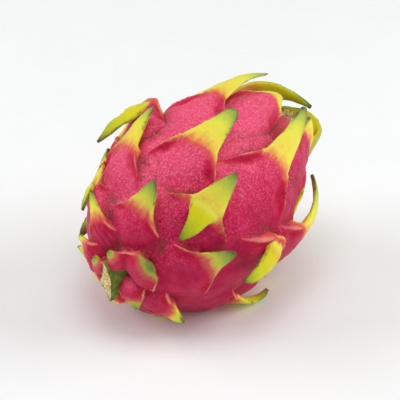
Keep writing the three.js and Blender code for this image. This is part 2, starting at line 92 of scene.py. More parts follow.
def turned(v: Array, axis: Array, angle: Array | float) -> Array:
    """Vectors turned about a unit axis.

    Args:
        v: The vectors, with three numbers in the last place.
        axis: The unit axis.
        angle: The angle in degrees, one number or one for each vector.

    Returns:
        The turned vectors.
    """
    a = np.radians(np.asarray(angle, float))[..., None]
    return v * np.cos(a) + np.cross(axis, v) * np.sin(a) + axis * (v @ axis)[..., None] * (1.0 - np.cos(a))


class Grain:
    """Smooth random values through space, the same on every run."""

    def __init__(self, seed: int) -> None:
        """Draws the table of lattice values for one seed."""
        self.table = np.random.default_rng(seed).random(4096)

    def at(self, points: Array, size: float) -> Array:
        """Values from -1 to 1 at points.

        Args:
            points: The points, three numbers each.
            size: The size of one lump, in the points' own unit.

        Returns:
            One value for each point.
        """
        p = points / size
        base = np.floor(p).astype(np.int64)
        f = p - base
        f = f * f * f * (f * (f * 6.0 - 15.0) + 10.0)
        total = np.zeros(len(points))
        for corner in range(8):
            off = np.array([corner & 1, (corner >> 1) & 1, corner >> 2])
            key = (base + off) @ np.array([73856093, 19349663, 83492791])
            weight = np.prod(np.where(off == 1, f, 1.0 - f), axis=1)
            total += weight * self.table[key % 4096]
        return 2.0 * total - 1.0


# ----------------------------------------------------------------------------------------- meshes as arrays


@dataclass
class Surface:
    """Points and triangles with a named set of values for every point."""

    points: Array
    faces: Array
    marks: dict[str, Array] = field(default_factory=dict)

    @staticmethod
    def joined(parts: Sequence[Surface]) -> Surface:
        """All parts as one surface, with the marks that they share.

        Args:
            parts: The surfaces to put together.

        Returns:
            One surface that holds them all.
        """
        shift = np.cumsum([0] + [len(p.points) for p in parts[:-1]])
        marks = {k: np.concatenate([p.marks[k] for p in parts]) for k in parts[0].marks}
        return Surface(
            np.concatenate([p.points for p in parts]),
            np.concatenate([p.faces + s for p, s in zip(parts, shift)]),
            marks,
        )

    def edges(self) -> Array:
        """Each pair of neighbouring points, once.

        Returns:
            Two point numbers for each edge, the lower one first.
        """
        f = self.faces
        pairs = np.concatenate([f[:, [0, 1]], f[:, [1, 2]], f[:, [2, 0]]])
        return np.unique(np.sort(pairs, axis=1), axis=0)

    def normals(self) -> Array:
        """The unit normal at each point, weighted by the area of the faces round it.

        Returns:
            One unit normal for each point.
        """
        a, b, c = (self.points[self.faces[:, k]] for k in range(3))
        n = np.cross(b - a, c - a)
        count = len(self.points)
        sides = [sum(np.bincount(self.faces[:, k], n[:, i], count) for k in range(3)) for i in range(3)]
        return unit(np.stack(sides, axis=1))

    def mesh(self, name: str) -> bpy.types.Mesh:
        """The surface as a smooth mesh datablock in the same unit.

        Args:
            name: The name of the mesh.

        Returns:
            The mesh, with each mark as a point attribute.
        """
        made = bpy.data.meshes.new(name)
        made.vertices.add(len(self.points))
        made.vertices.foreach_set("co", self.points.astype(np.float32).ravel())
        made.loops.add(3 * len(self.faces))
        made.loops.foreach_set("vertex_index", self.faces.astype(np.int32).ravel())
        made.polygons.add(len(self.faces))
        made.polygons.foreach_set("loop_start", np.arange(0, 3 * len(self.faces), 3, dtype=np.int32))
        made.update(calc_edges=True)
        made.validate()
        for key, values in self.marks.items():
            wide = values.ndim == 2
            layer = made.attributes.new(key, "FLOAT_VECTOR" if wide else "FLOAT", "POINT")
            layer.data.foreach_set("vector" if wide else "value", values.astype(np.float32).ravel())
        made.shade_smooth()
        return made


def read_mesh(mesh: bpy.types.Mesh) -> Surface:
    """The points and triangles of a mesh datablock.

    Args:
        mesh: The mesh, of any faces.

    Returns:
        The surface, without marks.
    """
    points = np.empty(3 * len(mesh.vertices), np.float32)
    mesh.vertices.foreach_get("co", points)
    mesh.calc_loop_triangles()
    faces = np.empty(3 * len(mesh.loop_triangles), np.int32)
    mesh.loop_triangles.foreach_get("vertices", faces)
    return Surface(points.reshape(-1, 3).astype(float), faces.reshape(-1, 3))


def through_modifier(surface: Surface, kind: str, **settings: object) -> Surface:
    """A surface after one modifier.

    Args:
        surface: The surface to change.
        kind: The modifier's type.
        **settings: The modifier's settings.

    Returns:
        The changed surface, without marks.
    """
    body = bpy.data.objects.new("work", Surface(surface.points, surface.faces).mesh("work"))
    bpy.context.scene.collection.objects.link(body)
    modifier = body.modifiers.new(kind, kind)
    for key, value in settings.items():
        setattr(modifier, key, value)
    changed = body.evaluated_get(bpy.context.evaluated_depsgraph_get())
    result = read_mesh(changed.to_mesh())
    changed.to_mesh_clear()
    mesh = body.data
    bpy.data.objects.remove(body)
    bpy.data.meshes.remove(mesh)
    return result


def spread(values: Array, edges: Array, share: float = 0.5, times: int = 1) -> Array:
    """Values moved towards the average of their neighbours.

    Args:
        values: One number or vector for each point.
        edges: The pairs of neighbours.
        share: How far each value moves.
        times: How often.

    Returns:
        The evened values.
    """
    count = len(values)
    a, b = edges[:, 0], edges[:, 1]
    degree = np.maximum(np.bincount(a, minlength=count) + np.bincount(b, minlength=count), 1)
    flat = values.reshape(count, -1).copy()
    for _ in range(times):
        for k in range(flat.shape[1]):
            v = flat[:, k]
            total = np.bincount(a, v[b], count) + np.bincount(b, v[a], count)
            flat[:, k] = v + share * (total / degree - v)
    return flat.reshape(values.shape)


def melted(points: Array, edges: Array, share: Array, times: int) -> Array:
    """Points evened out where wanted, and left where the share is 0.

    Args:
        points: The points.
        edges: The pairs of neighbours.
        share: How far each point moves in each round, from 0 to 1.
        times: The number of rounds.

    Returns:
        The moved points.
    """
    loose = share > 0.01
    near = edges[loose[edges[:, 0]] | loose[edges[:, 1]]]
    used, flat = np.unique(near, return_inverse=True)
    pairs = flat.reshape(-1, 2)
    part = points[used]
    step = share[used][:, None]
    for _ in range(times):
        part = part + step * (spread(part, pairs, 0.6) - part)
    moved = points.copy()
    moved[used] = part
    return moved


def slab(top: Array, bottom: Array, marks: dict[str, tuple[Array, Array]]) -> Surface:
    """A closed surface between two grids of points with the same rows and columns.

    Args:
        top: The upper grid, rows by columns by three.
        bottom: The lower grid.
        marks: For each mark, its values on the upper and on the lower grid.

    Returns:
        The closed surface.
    """
    rows, cols = top.shape[:2]
    index = np.arange(rows * cols).reshape(rows, cols)
    under = index + rows * cols

    def quads(a: Array, b: Array, c: Array, d: Array) -> Array:
        """Two triangles for each set of four corners."""
        a, b, c, d = a.ravel(), b.ravel(), c.ravel(), d.ravel()
        return np.concatenate([np.stack([a, b, c], 1), np.stack([a, c, d], 1)])

    faces = [
        quads(index[:-1, :-1], index[1:, :-1], index[1:, 1:], index[:-1, 1:]),
        quads(under[:-1, :-1], under[:-1, 1:], under[1:, 1:], under[1:, :-1]),
        quads(index[:-1, 0], under[:-1, 0], under[1:, 0], index[1:, 0]),
        quads(index[:-1, -1], index[1:, -1], under[1:, -1], under[:-1, -1]),
        quads(index[0, :-1], index[0, 1:], under[0, 1:], under[0, :-1]),
        quads(index[-1, :-1], under[-1, :-1], under[-1, 1:], index[-1, 1:]),
    ]

    def both(pair: tuple[Array, Array]) -> Array:
        """The upper grid's values, then the lower grid's."""
        return np.concatenate([v.reshape(rows * cols, -1) for v in pair]).squeeze()

    points = np.concatenate([top.reshape(-1, 3), bottom.reshape(-1, 3)])
    return Surface(points, np.concatenate(faces), {k: both(v) for k, v in marks.items()})


def outward(surface: Surface) -> Surface:
    """The same closed surface with its faces turned outwards.

    Args:
        surface: The closed surface, with its faces all turned one way.

    Returns:
        The surface, turned where it has to be.
    """
    a, b, c = (surface.points[surface.faces[:, k]] for k in range(3))
    if np.einsum("ij,ij->", a, np.cross(b, c)) < 0:
        return Surface(surface.points, surface.faces[:, ::-1], surface.marks)
    return surface


def tube(rings: Array, marks: dict[str, Array]) -> Surface:
    """A tube through rings of points, closed at both ends by a point.

    Args:
        rings: Rings by points by three.
        marks: Values for each ring point, rings by points.

    Returns:
        The closed surface.
    """
    count, n = rings.shape[:2]
    index = np.arange(count * n).reshape(count, n)
    a, b = index[:-1], index[1:]
    quads = np.stack([a, np.roll(a, -1, 1), np.roll(b, -1, 1), b], -1).reshape(-1, 4)
    ends = [rings[0].mean(0), rings[-1].mean(0)]
    points = np.concatenate([rings.reshape(-1, 3), np.array(ends)])
    first, last = count * n, count * n + 1
    faces = [
        quads[:, [0, 1, 2]],
        quads[:, [0, 2, 3]],
        np.stack([np.full(n, first), np.roll(index[0], -1), index[0]], 1),
        np.stack([np.full(n, last), index[-1], np.roll(index[-1], -1)], 1),
    ]
    closed = {}
    for key, values in marks.items():
        tips = [values[end].mean(0).reshape(1, -1) for end in (0, -1)]
        closed[key] = np.concatenate([values.reshape(count * n, -1), *tips]).squeeze()
    return outward(Surface(points, np.concatenate(faces), closed))


# ------------------------------------------------------------------------------------------- the bare flesh


@dataclass(frozen=True)
class Lie:
    """How the fruit lies: tipped, set down and centred."""

    pitch: float = 13.0  # degrees that the crown is raised
    height: float = 40.1  # of the body's origin over the table
    middle_x: float = 3.685  # the middle of the finished part, before it is centred
    middle_y: float = 2.607

    def tipped(self, vectors: Array) -> Array:
        """Vectors along the fruit's own axis, tipped as the fruit lies.

        Args:
            vectors: One vector for each row.

        Returns:
            The turned vectors.
        """
        c, s = math.cos(math.radians(self.pitch)), math.sin(math.radians(self.pitch))
        x, y, z = vectors.T
        return np.stack([c * x - s * z, y, s * x + c * z], axis=1)

    def place(self, points: Array) -> Array:
        """Points of the fruit's own frame, in millimetres on the table."""
        return self.tipped(points) + [-self.middle_x, -self.middle_y, self.height]


@dataclass(frozen=True)
class Flesh:
    """The smooth body that every scale grows from, with the crown hollow and the stem dimple."""

    stem_reach: float = 56.5
    crown_reach: float = 55.0
    girth: float = 39.0  # radius at the widest
    widest_at: float = -8.0
    stem_fullness: float = 1.95  # 2 for a plain oval end, more for a blunter one
    crown_fullness: float = 1.9
    hollow_at: float = 60.0  # middle of the oval bowl in the crown
    hollow_depth: float = 20.0
    hollow_radius: float = 15.5
    dimple_at: float = -60.5  # middle of the oval bowl at the stem
    dimple_depth: float = 10.0
    dimple_radius: float = 8.0
    heart: float = 0.55  # share of a point's station from which the line to it starts

    def fall(self, x: Array) -> Array:
        """How far the outline has closed in at a station, from 0 at the widest to 1 at an end.

        Args:
            x: The stations along the axis.

        Returns:
            One share for each station.
        """
        stem = (self.widest_at - x) / (self.widest_at + self.stem_reach)
        crown = (x - self.widest_at) / (self.crown_reach - self.widest_at)
        return np.where(
            x < self.widest_at,
            np.maximum(stem, 0.0) ** self.stem_fullness,
            np.maximum(crown, 0.0) ** self.crown_fullness,
        )

    def radius(self, x: Array) -> Array:
        """The bare radius at a station."""
        return self.girth * np.sqrt(np.maximum(1.0 - self.fall(x), 0.0))

    def level(self, points: Array) -> Array:
        """Below 0 inside the body and above 0 outside."""
        r2 = points[..., 1] ** 2 + points[..., 2] ** 2
        return r2 / self.girth**2 + self.fall(points[..., 0]) - 1.0

    def normal(self, points: Array) -> Array:
        """The unit normal of the body at points of its skin.

        Args:
            points: Points of the skin, with three numbers in the last place.

        Returns:
            The unit normals, in the same order.
        """
        step = 0.01
        ahead, behind = points.copy(), points.copy()
        ahead[..., 0] += step
        behind[..., 0] -= step
        along = (self.level(ahead) - self.level(behind)) / (2.0 * step)
        n = 2.0 * points / self.girth**2
        n[..., 0] = along
        return unit(n)

    def skin(self, points: Array) -> tuple[Array, Array]:
        """The points of the skin that lie under points, and the normals there.

        Args:
            points: Points near the skin.

        Returns:
            The points on the skin and the unit normals.
        """
        heart = np.zeros_like(points)
        heart[..., 0] = self.heart * points[..., 0]
        out = points - heart
        near, far = np.zeros(points.shape[:-1]), np.full(points.shape[:-1], 4.0)
        for _ in range(32):
            middle = (near + far) / 2.0
            inside = self.level(heart + out * middle[..., None]) < 0.0
            near, far = np.where(inside, middle, near), np.where(inside, far, middle)
        foot = heart + out * near[..., None]
        return foot, self.normal(foot)

    def core(self) -> Surface:
        """The closed body of revolution, hollowed at both ends.

        Returns:
            The body, with the marks of bare skin.
        """
        x = np.linspace(-self.stem_reach, self.crown_reach, 1400)
        r = self.radius(x)
        crown_share = (x - self.hollow_at) / self.hollow_depth
        crown_cut = self.hollow_radius * np.sqrt(np.maximum(1 - crown_share**2, 0))
        stem_share = (x - self.dimple_at) / self.dimple_depth
        stem_cut = self.dimple_radius * np.sqrt(np.maximum(1 - stem_share**2, 0))
        outer = (r > crown_cut) & (r > stem_cut)
        body = np.stack([x[outer], r[outer]], axis=1)[::14]
        crown = self.bowl(self.hollow_at, -self.hollow_depth, self.hollow_radius, body[-1, 1])
        stem = self.bowl(self.dimple_at, self.dimple_depth, self.dimple_radius, body[0, 1])[::-1]
        profile = np.concatenate([stem[1:], body, crown[:-1]])
        around = np.linspace(0, 2 * math.pi, 241)[:-1]
        station = np.repeat(profile[:, :1], len(around), 1)
        out = profile[:, 1:]
        rings = np.stack([station, -out * np.sin(around), out * np.cos(around)], axis=-1)
        marks = {
            "ripe": np.full(station.shape, -1.0),
            "rim": np.full(station.shape, OPEN_SKIN),
            "under": np.zeros(station.shape),
            "lay": rings,
            "dusk": step_up(station, 34.0, 50.0),
            "tone": np.zeros(station.shape),
        }
        return tube(rings, marks)

    @staticmethod
    def bowl(middle: float, depth: float, radius: float, mouth: float) -> Array:
        """The half profile of an oval bowl, from its mouth to its bottom.

        Args:
            middle: The station of the oval's middle.
            depth: How far its bottom lies from there, with its sign.
            radius: The oval's own radius.
            mouth: The radius at which it meets the skin.

        Returns:
            Stations and radii.
        """
        angles = math.asin(min(mouth / radius, 1.0)) * (1 - np.linspace(0, 1, 26)[1:])
        return np.stack([middle + depth * np.cos(angles), radius * np.sin(angles)], axis=1)


# ----------------------------------------------------------------------------------------------- the scales


@dataclass(frozen=True)
class Blade:
    """A free tongue: half width, length and thickness, its angle to the skin, and how far it bends."""

    base: float = 6.5  # half width at the root
    long: float = 20.0
    thick: float = 3.4
    lift: float = 14.0  # angle to the skin at the root, in degrees
    curl: float = 0.0  # added to it by the tip
    side: float = 0.0  # turn sideways by the tip, in degrees
    point: float = 0.4  # 0 for a round tip, 1 for a pointed one
    twist: float = 0.0  # about its own length, in degrees
    waist: float = 0.0  # share by which the root is narrower

    def outline(self, t: Array) -> Array:
        """The half width at each share of the length, from a wide root to a rounded or pointed tip.

        Args:
            t: The shares of the length, from 0 to 1.

        Returns:
            One half width for each share.
        """
        start = 0.82 - 0.5 * self.point
        end = np.clip((t - start) / (1.0 - start), 0.0, 1.0)
        flare = 0.36 + 0.64 * (1.0 - t) ** 1.6
        root = 1.0 - self.waist * (1.0 - ease(4.0 * t))
        return self.base * root * flare * (1.0 - end**2) ** (0.5 + 0.35 * self.point)


@dataclass(frozen=True)
class Tint:
    """Where the colours of one scale change, in millimetres from its ridge or as a share of its blade."""

    onset: float = -2.0  # where the peach starts
    wing: float = 5.0  # how much earlier it starts out along the arms
    green: float = 0.62  # share of the blade at which it turns green
    olive: float = 0.0  # how far its greens go towards olive
    pink: float = 0.0  # share of the blade that stays pink
    dusk: float = 0.0  # dull red over the whole scale
    narrow: float = 0.0  # how much later it turns at the rims
    most: float = 1.0  # ripeness that the tip isn't let past
    hollow: float = 0.0  # dull red in the hollow on one side


@dataclass(frozen=True)
class Scale:
    """A ramp that climbs from the stem side to a ridge with two arms, and the blades beyond it."""

    at: float  # station of the ridge along the axis
    turn: float  # place round the axis in degrees, 0 on top and 90 in front
    wide: float = 15.0  # half width
    arm: float = 10.0  # how far the arms sweep back
    rise: float = 3.6  # height of the ridge
    ramp: float = 26.0  # length of the climb
    lean: float = 0.0  # turn on the skin, in degrees
    blade: Blade = Blade()
    back: Blade | None = None
    tint: Tint = Tint()
    puff: float = 0.8  # swelling of the ramp
    ripple: float = 0.0  # 1 for a withered, rippled scale


class Grower:
    """Turns scales into closed surfaces with their marks."""

    ROOT_DEPTH = 2.4  # how far a scale is sunk into the flesh
    ARM_END = 0.2  # height of the ridge at the end of an arm, against the middle
    EDGE_SINK = 0.9  # the sides of a ramp end this far under the skin
    LIP_HEIGHT = 1.0  # the rolled edge along the arms of a ridge
    LIP_WIDTH = 1.3
    TROUGH_DEPTH = 1.7  # the hollow behind that edge
    TROUGH_AT = 3.2
    TROUGH_WIDTH = 2.0
    RIPPLE_HEIGHT = 0.3  # of a withered scale, times its own ripple
    RIPPLE_WIDTH = 3.1
    TIP_HALF_WIDTH = 0.8
    TIP_THICKNESS = 1.9
    RIM_SHARE = 0.42  # thickness of a blade's rim against its middle
    RIM_THICKNESS = 0.7  # and at the least
    RIM_CURL = 0.35  # how far its rims turn up
    SWAY = 0.45  # how far its middle wanders sideways
    SWAY_LENGTH = 7.0
    TIP_ROUNDING = 10.0  # the radius that a blade bends round beyond its root
    BACK_ROUNDING = 30.0  # the same at the root of a blade bent back
    BACK_ROOT = 1.6  # how deep that root is buried
    BACK_START = 3.0  # how far beyond the ridge its colours start
    SKIN_BEND = 44.0  # how scales wrap round the fruit
    COLUMNS = 41
    STEP = 0.55  # between rows

    def __init__(self, flesh: Flesh) -> None:
        """Keeps the body that the scales grow from."""
        self.flesh = flesh
        self.grain = Grain(SEED)

    def frame(self, scale: Scale, about: float = 0.0) -> Frame:
        """The skin under a scale's root and its directions.

        Args:
            scale: The scale.
            about: A further turn on the skin, in degrees.

        Returns:
            The foot, the outward normal, the direction to the crown and the direction across.
        """
        a = math.radians(scale.turn)
        r = float(self.flesh.radius(np.array(scale.at)))
        foot = np.array([scale.at, -r * math.sin(a), r * math.cos(a)])
        normal = self.flesh.normal(foot)
        across = np.array([0.0, -math.cos(a), -math.sin(a)])
        ahead = unit(np.cross(across, normal))
        ahead = ahead if ahead[0] > 0 else -ahead
        lean = -(scale.lean + about)
        return foot, normal, turned(ahead, normal, lean), turned(across, normal, lean)

    def tongue(
        self,
        frame: Frame,
        start: Array,
        blade: Blade,
        hold: float,
        key: float,
        sink: float = 0.0,
    ) -> tuple[Array, Array, Array, Array]:
        """The two faces of a free blade from its root to its tip.

        Args:
            frame: The scale's frame.
            start: The middle of the root.
            blade: The blade.
            hold: The radius that its cross-section bends round.
            key: A number that sets its small unevenness.
            sink: How deep the root is buried.

        Returns:
            The upper grid, the lower grid, the share along at each row, and the half width at each row.
        """
        _, normal, ahead, across = frame
        rows = max(int(blade.long / self.STEP), 8)
        t = np.linspace(0.0, 1.0, rows + 1)
        t = 1.0 - (1.0 - t) ** 1.25
        lift = np.radians(blade.lift + blade.curl * t)
        side = blade.side * t
        way = turned(np.repeat(ahead[None], rows + 1, 0), normal, -side)
        wing = turned(np.repeat(across[None], rows + 1, 0), normal, -side)
        go = way * np.cos(lift)[:, None] + normal * np.sin(lift)[:, None]
        up = normal * np.cos(lift)[:, None] - way * np.sin(lift)[:, None]
        turn = np.radians(blade.twist * ease(2.0 * t))[:, None]
        wing, up = wing * np.cos(turn) + up * np.sin(turn), up * np.cos(turn) - wing * np.sin(turn)
        pace = (np.diff(t) * blade.long)[:, None]
        path = start + np.concatenate([np.zeros((1, 3)), np.cumsum((go[:-1] + go[1:]) / 2.0 * pace, axis=0)])
        path = path - normal * (sink * (1.0 - ease(t * 4.5)))[:, None]
        half = np.maximum(blade.outline(t), self.TIP_HALF_WIDTH)
        thick = mix(blade.thick, self.TIP_THICKNESS, t**0.8)
        q = np.linspace(-1.0, 1.0, self.COLUMNS)[None, :]
        wander = self.grain.at(np.stack([t * blade.long, t * 0 + key, t * 0], 1), self.SWAY_LENGTH)
        sway = wander * self.SWAY * ease(t * 5)
        u = q * half[:, None]
        round_off = mix(1.0 / hold, 1.0 / self.TIP_ROUNDING, ease(2.5 * t))[:, None]
        sag = u**2 * round_off / 2.0
        curled = self.RIM_CURL * np.abs(q) ** 6 * ease(t * 3)[:, None] * ease((1 - t) * 4)[:, None]
        depth = np.maximum(thick[:, None] * (1.0 - (1.0 - self.RIM_SHARE) * q**2), self.RIM_THICKNESS)
        line = path[:, None] + wing[:, None] * (u + sway[:, None])[..., None]
        top = line + up[:, None] * (curled - sag)[..., None]
        bottom = line + up[:, None] * (curled - sag - depth)[..., None]
        return top, bottom, t, half

    @staticmethod
    def ripeness(v: Array, q: Array, near: Array, length: float, tint: Tint) -> Array:
        """Where a point stands between the pink of the rind and the brown of a tip.

        Args:
            v: Millimetres beyond the ridge, below 0 on the ramp.
            q: The place across, from -1 to 1.
            near: 1 where the surface ends in a ridge or a rim, 0 on the open ramp.
            length: The length of the blade.
            tint: The scale's colouring.

        Returns:
            Below 0 for pink, 0 to 0.15 for peach, then yellow, lime and green up to 1 at the tip.
        """
        s = v - tint.onset - tint.pink * length + tint.wing * np.abs(q) ** 7 * near - tint.narrow * q**2
        peach = min(5.0, 0.3 * length + 0.6)
        span = max(length * (1.0 - tint.pink) - tint.onset - peach, 2.0)
        beyond = np.clip((s - peach) / span, 0.0, 1.0)
        bend = math.log(0.62 - 0.15) / math.log(max(tint.green, 0.05)) if tint.green < 0.97 else 3.0
        later = 0.15 + 0.85 * beyond ** max(bend, 0.3)
        return np.where(s < 0.0, s / 12.0, np.where(s < peach, 0.15 * s / peach, later)).clip(-1.0, tint.most)

    def marks(
        self, scale: Scale, v: Array, q: Array, half: Array, near: Array, length: float, key: float
    ) -> dict[str, tuple[Array, Array]]:
        """The marks of both faces of a scale.

        Args:
            scale: The scale.
            v: Millimetres beyond the ridge at each row.
            q: The place across at each column.
            half: The half width at each row.
            near: 1 at the rows that end in a ridge or a rim.
            length: The length of the blade.
            key: A number that tells this scale from the others.

        Returns:
            For each mark, its values on the upper and on the lower grid.
        """
        grid = np.ones((len(v), q.size))
        across = q[None, :] * grid
        along = v[:, None] * grid
        close = near[:, None] * grid
        ripe = self.ripeness(along, across, close, length, scale.tint)
        rim = np.where(close > 0.1, (1.0 - np.abs(across)) * half[:, None] * close, OPEN_SKIN)
        if length > 0:
            rim = np.minimum(rim, np.maximum(length - along, 0.0) + 0.2)
        lay = np.stack([across * half[:, None], along, grid * key * 13.7], axis=-1)
        hollow = step_up(across, -0.15, -0.6) * step_up(along, -30.0, -14.0)
        dusk = grid * scale.tint.dusk + scale.tint.hollow * hollow
        tone = grid * scale.tint.olive
        flat = grid * 0.0
        return {
            "ripe": (ripe, ripe),
            "rim": (rim, rim),
            "under": (flat, grid),
            "lay": (lay, lay),
            "dusk": (dusk, dusk),
            "tone": (tone, tone),
        }

    def laid(self, frame: Frame, u: Array, t: Array) -> tuple[Array, Array]:
        """The skin under places given across and along a scale.

        Args:
            frame: The scale's frame.
            u: The places across, rows by columns.
            t: The place along at each row.

        Returns:
            The points on the skin and the unit normals.
        """
        foot, _, ahead, across = frame
        over = foot + across * (self.SKIN_BEND * np.tan(u / self.SKIN_BEND))[..., None]
        return self.flesh.skin(over + ahead * (self.SKIN_BEND * np.tan(t / self.SKIN_BEND))[:, None, None])

    def stations(self, scale: Scale) -> Array:
        """The places of a ramp's rows, closer together along its arms, in millimetres before the ridge.

        Args:
            scale: The scale.

        Returns:
            The places, all below 0 and rising.
        """
        rows = max(int(scale.ramp / (1.6 * self.STEP)), 10)
        arm_rows = max(int(scale.arm / self.STEP), 7)
        early = np.linspace(-scale.ramp, -scale.arm, rows)[:-1]
        late = -scale.arm * (1.0 - np.linspace(0.0, 1.0, arm_rows)[:-1]) ** 1.3
        return np.concatenate([early, late])

    def heights(self, scale: Scale, t: Array, f: Array, u: Array, rim: Array, key: int) -> Array:
        """How far a ramp stands above the flesh.

        Args:
            scale: The scale.
            t: The place along at each row.
            f: The share of the row's own stretch, ramp or arm, that lies behind it.
            u: The places across, rows by columns.
            rim: The distance from the rim of the ridge.
            key: The scale's place in the list.

        Returns:
            The heights, rows by columns.
        """
        q = np.linspace(-1.0, 1.0, self.COLUMNS)
        before = t < -scale.arm
        climb = (t + scale.ramp) / scale.ramp
        middle = mix(-0.6, scale.rise, climb**1.6)
        middle = middle + scale.puff * (1.0 - (2.0 * climb - 1.0) ** 2) ** 0.75 * (1.2 - 0.4 * climb)
        low = mix(-self.EDGE_SINK, self.ARM_END * scale.rise, f**3)
        high = scale.rise * mix(self.ARM_END, 0.95, f**0.6)
        edge = np.where(before, low, high)
        lift = mix(middle[:, None], edge[:, None], np.abs(q)[None, :] ** 2.2)
        shoulder = (~before)[:, None] * step_up(f, 0.0, 0.4)[:, None]
        root = max(scale.blade.base, scale.back.base if scale.back else 0.0)
        arm_share = step_up(np.abs(u), root * 0.7, root * 1.3)
        trough = np.exp(-(((rim - self.TROUGH_AT) / self.TROUGH_WIDTH) ** 2)) * self.TROUGH_DEPTH
        lip = np.exp(-((rim / self.LIP_WIDTH) ** 2)) * self.LIP_HEIGHT
        lift = lift + shoulder * arm_share * (lip - trough)
        sway = self.grain.at(np.stack([t / 9.0, t * 0, t * 0 + key], 1), 1.0)[:, None]
        wave = np.sin(2.0 * math.pi * (u / self.RIPPLE_WIDTH + sway))
        ripple = scale.ripple * self.RIPPLE_HEIGHT * wave * (1.0 - q[None, :] ** 2)
        return lift + ripple * ease(climb * 3.0)[:, None]

    def scale(self, scale: Scale, key: int) -> list[Surface]:
        """The closed surfaces of one scale.

        Args:
            scale: The scale.
            key: Its place in the list.

        Returns:
            Its ramp with the forward blade, and the blade bent back if there is one.
        """
        frame = self.frame(scale)
        foot, normal = frame[:2]
        blade = scale.blade
        hold = max(float(np.hypot(foot[1], foot[2])), 14.0)
        t = self.stations(scale)
        before = t < -scale.arm
        climb = (t + scale.ramp) / (scale.ramp - scale.arm)
        f = np.where(before, climb, (t + scale.arm) / scale.arm).clip(0, 1)
        flare = 0.75 * (1.0 - f) ** 1.5 + 0.25 * (1.0 - f)
        half = np.where(
            before,
            scale.wide * (1.0 - 0.4 * (1.0 - f) ** 1.5),
            blade.base + (scale.wide - blade.base) * flare,
        )
        q = np.linspace(-1.0, 1.0, self.COLUMNS)
        u = half[:, None] * q[None, :]
        slant = scale.arm / math.hypot(scale.arm, scale.wide - blade.base)
        rim = (1.0 - np.abs(q))[None, :] * half[:, None] * slant
        base, out = self.laid(frame, u, t)
        top = base + out * self.heights(scale, t, f, u, rim, key)[..., None]
        base, out = self.laid(frame, 0.9 * u, t)
        bottom = base - out * self.ROOT_DEPTH
        start = foot + normal * scale.rise
        blade_top, blade_bottom, share, blade_half = self.tongue(frame, start, blade, hold, key * 31.0)
        v = np.concatenate([t, share * blade.long])
        near = np.concatenate([np.where(before, 0.0, slant), np.ones(len(share))])
        length = scale.back.long if scale.back and blade.long < 3.0 else blade.long
        made = self.marks(scale, v, q, np.concatenate([half, blade_half]), near, length, float(key))
        parts = [slab(np.concatenate([top, blade_top]), np.concatenate([bottom, blade_bottom]), made)]
        if scale.back:
            parts.append(self.back_blade(scale, scale.back, key))
        return [outward(p) for p in parts]

    def back_blade(self, scale: Scale, back: Blade, key: int) -> Surface:
        """The blade bent back over the ramp, rooted in the ridge.

        Args:
            scale: The scale.
            back: The blade bent back.
            key: The scale's place in the list.

        Returns:
            The closed surface.
        """
        frame = self.frame(scale, 180.0)
        foot, normal, ahead, _ = frame
        start = foot + normal * (scale.rise + 0.4) - ahead * min(3.5, 0.6 * scale.blade.long)
        top, bottom, share, half = self.tongue(
            frame, start, back, self.BACK_ROUNDING, key * 31.0 + 7.0, self.BACK_ROOT
        )
        q = np.linspace(-1.0, 1.0, self.COLUMNS)
        v = share * back.long + self.BACK_START
        made = self.marks(scale, v, q, half, np.ones(len(v)), back.long + self.BACK_START, key + 0.5)
        inner = np.repeat(ease((v - self.BACK_START) / 9.0)[:, None], q.size, 1)
        made["under"] = (inner, inner * 0.0)
        return slab(top, bottom, made)


def stump() -> Blade:
    """The lip left where a blade is bent back."""
    return Blade(base=6.0, long=1.2, thick=3.0, lift=12.0, point=0.0)


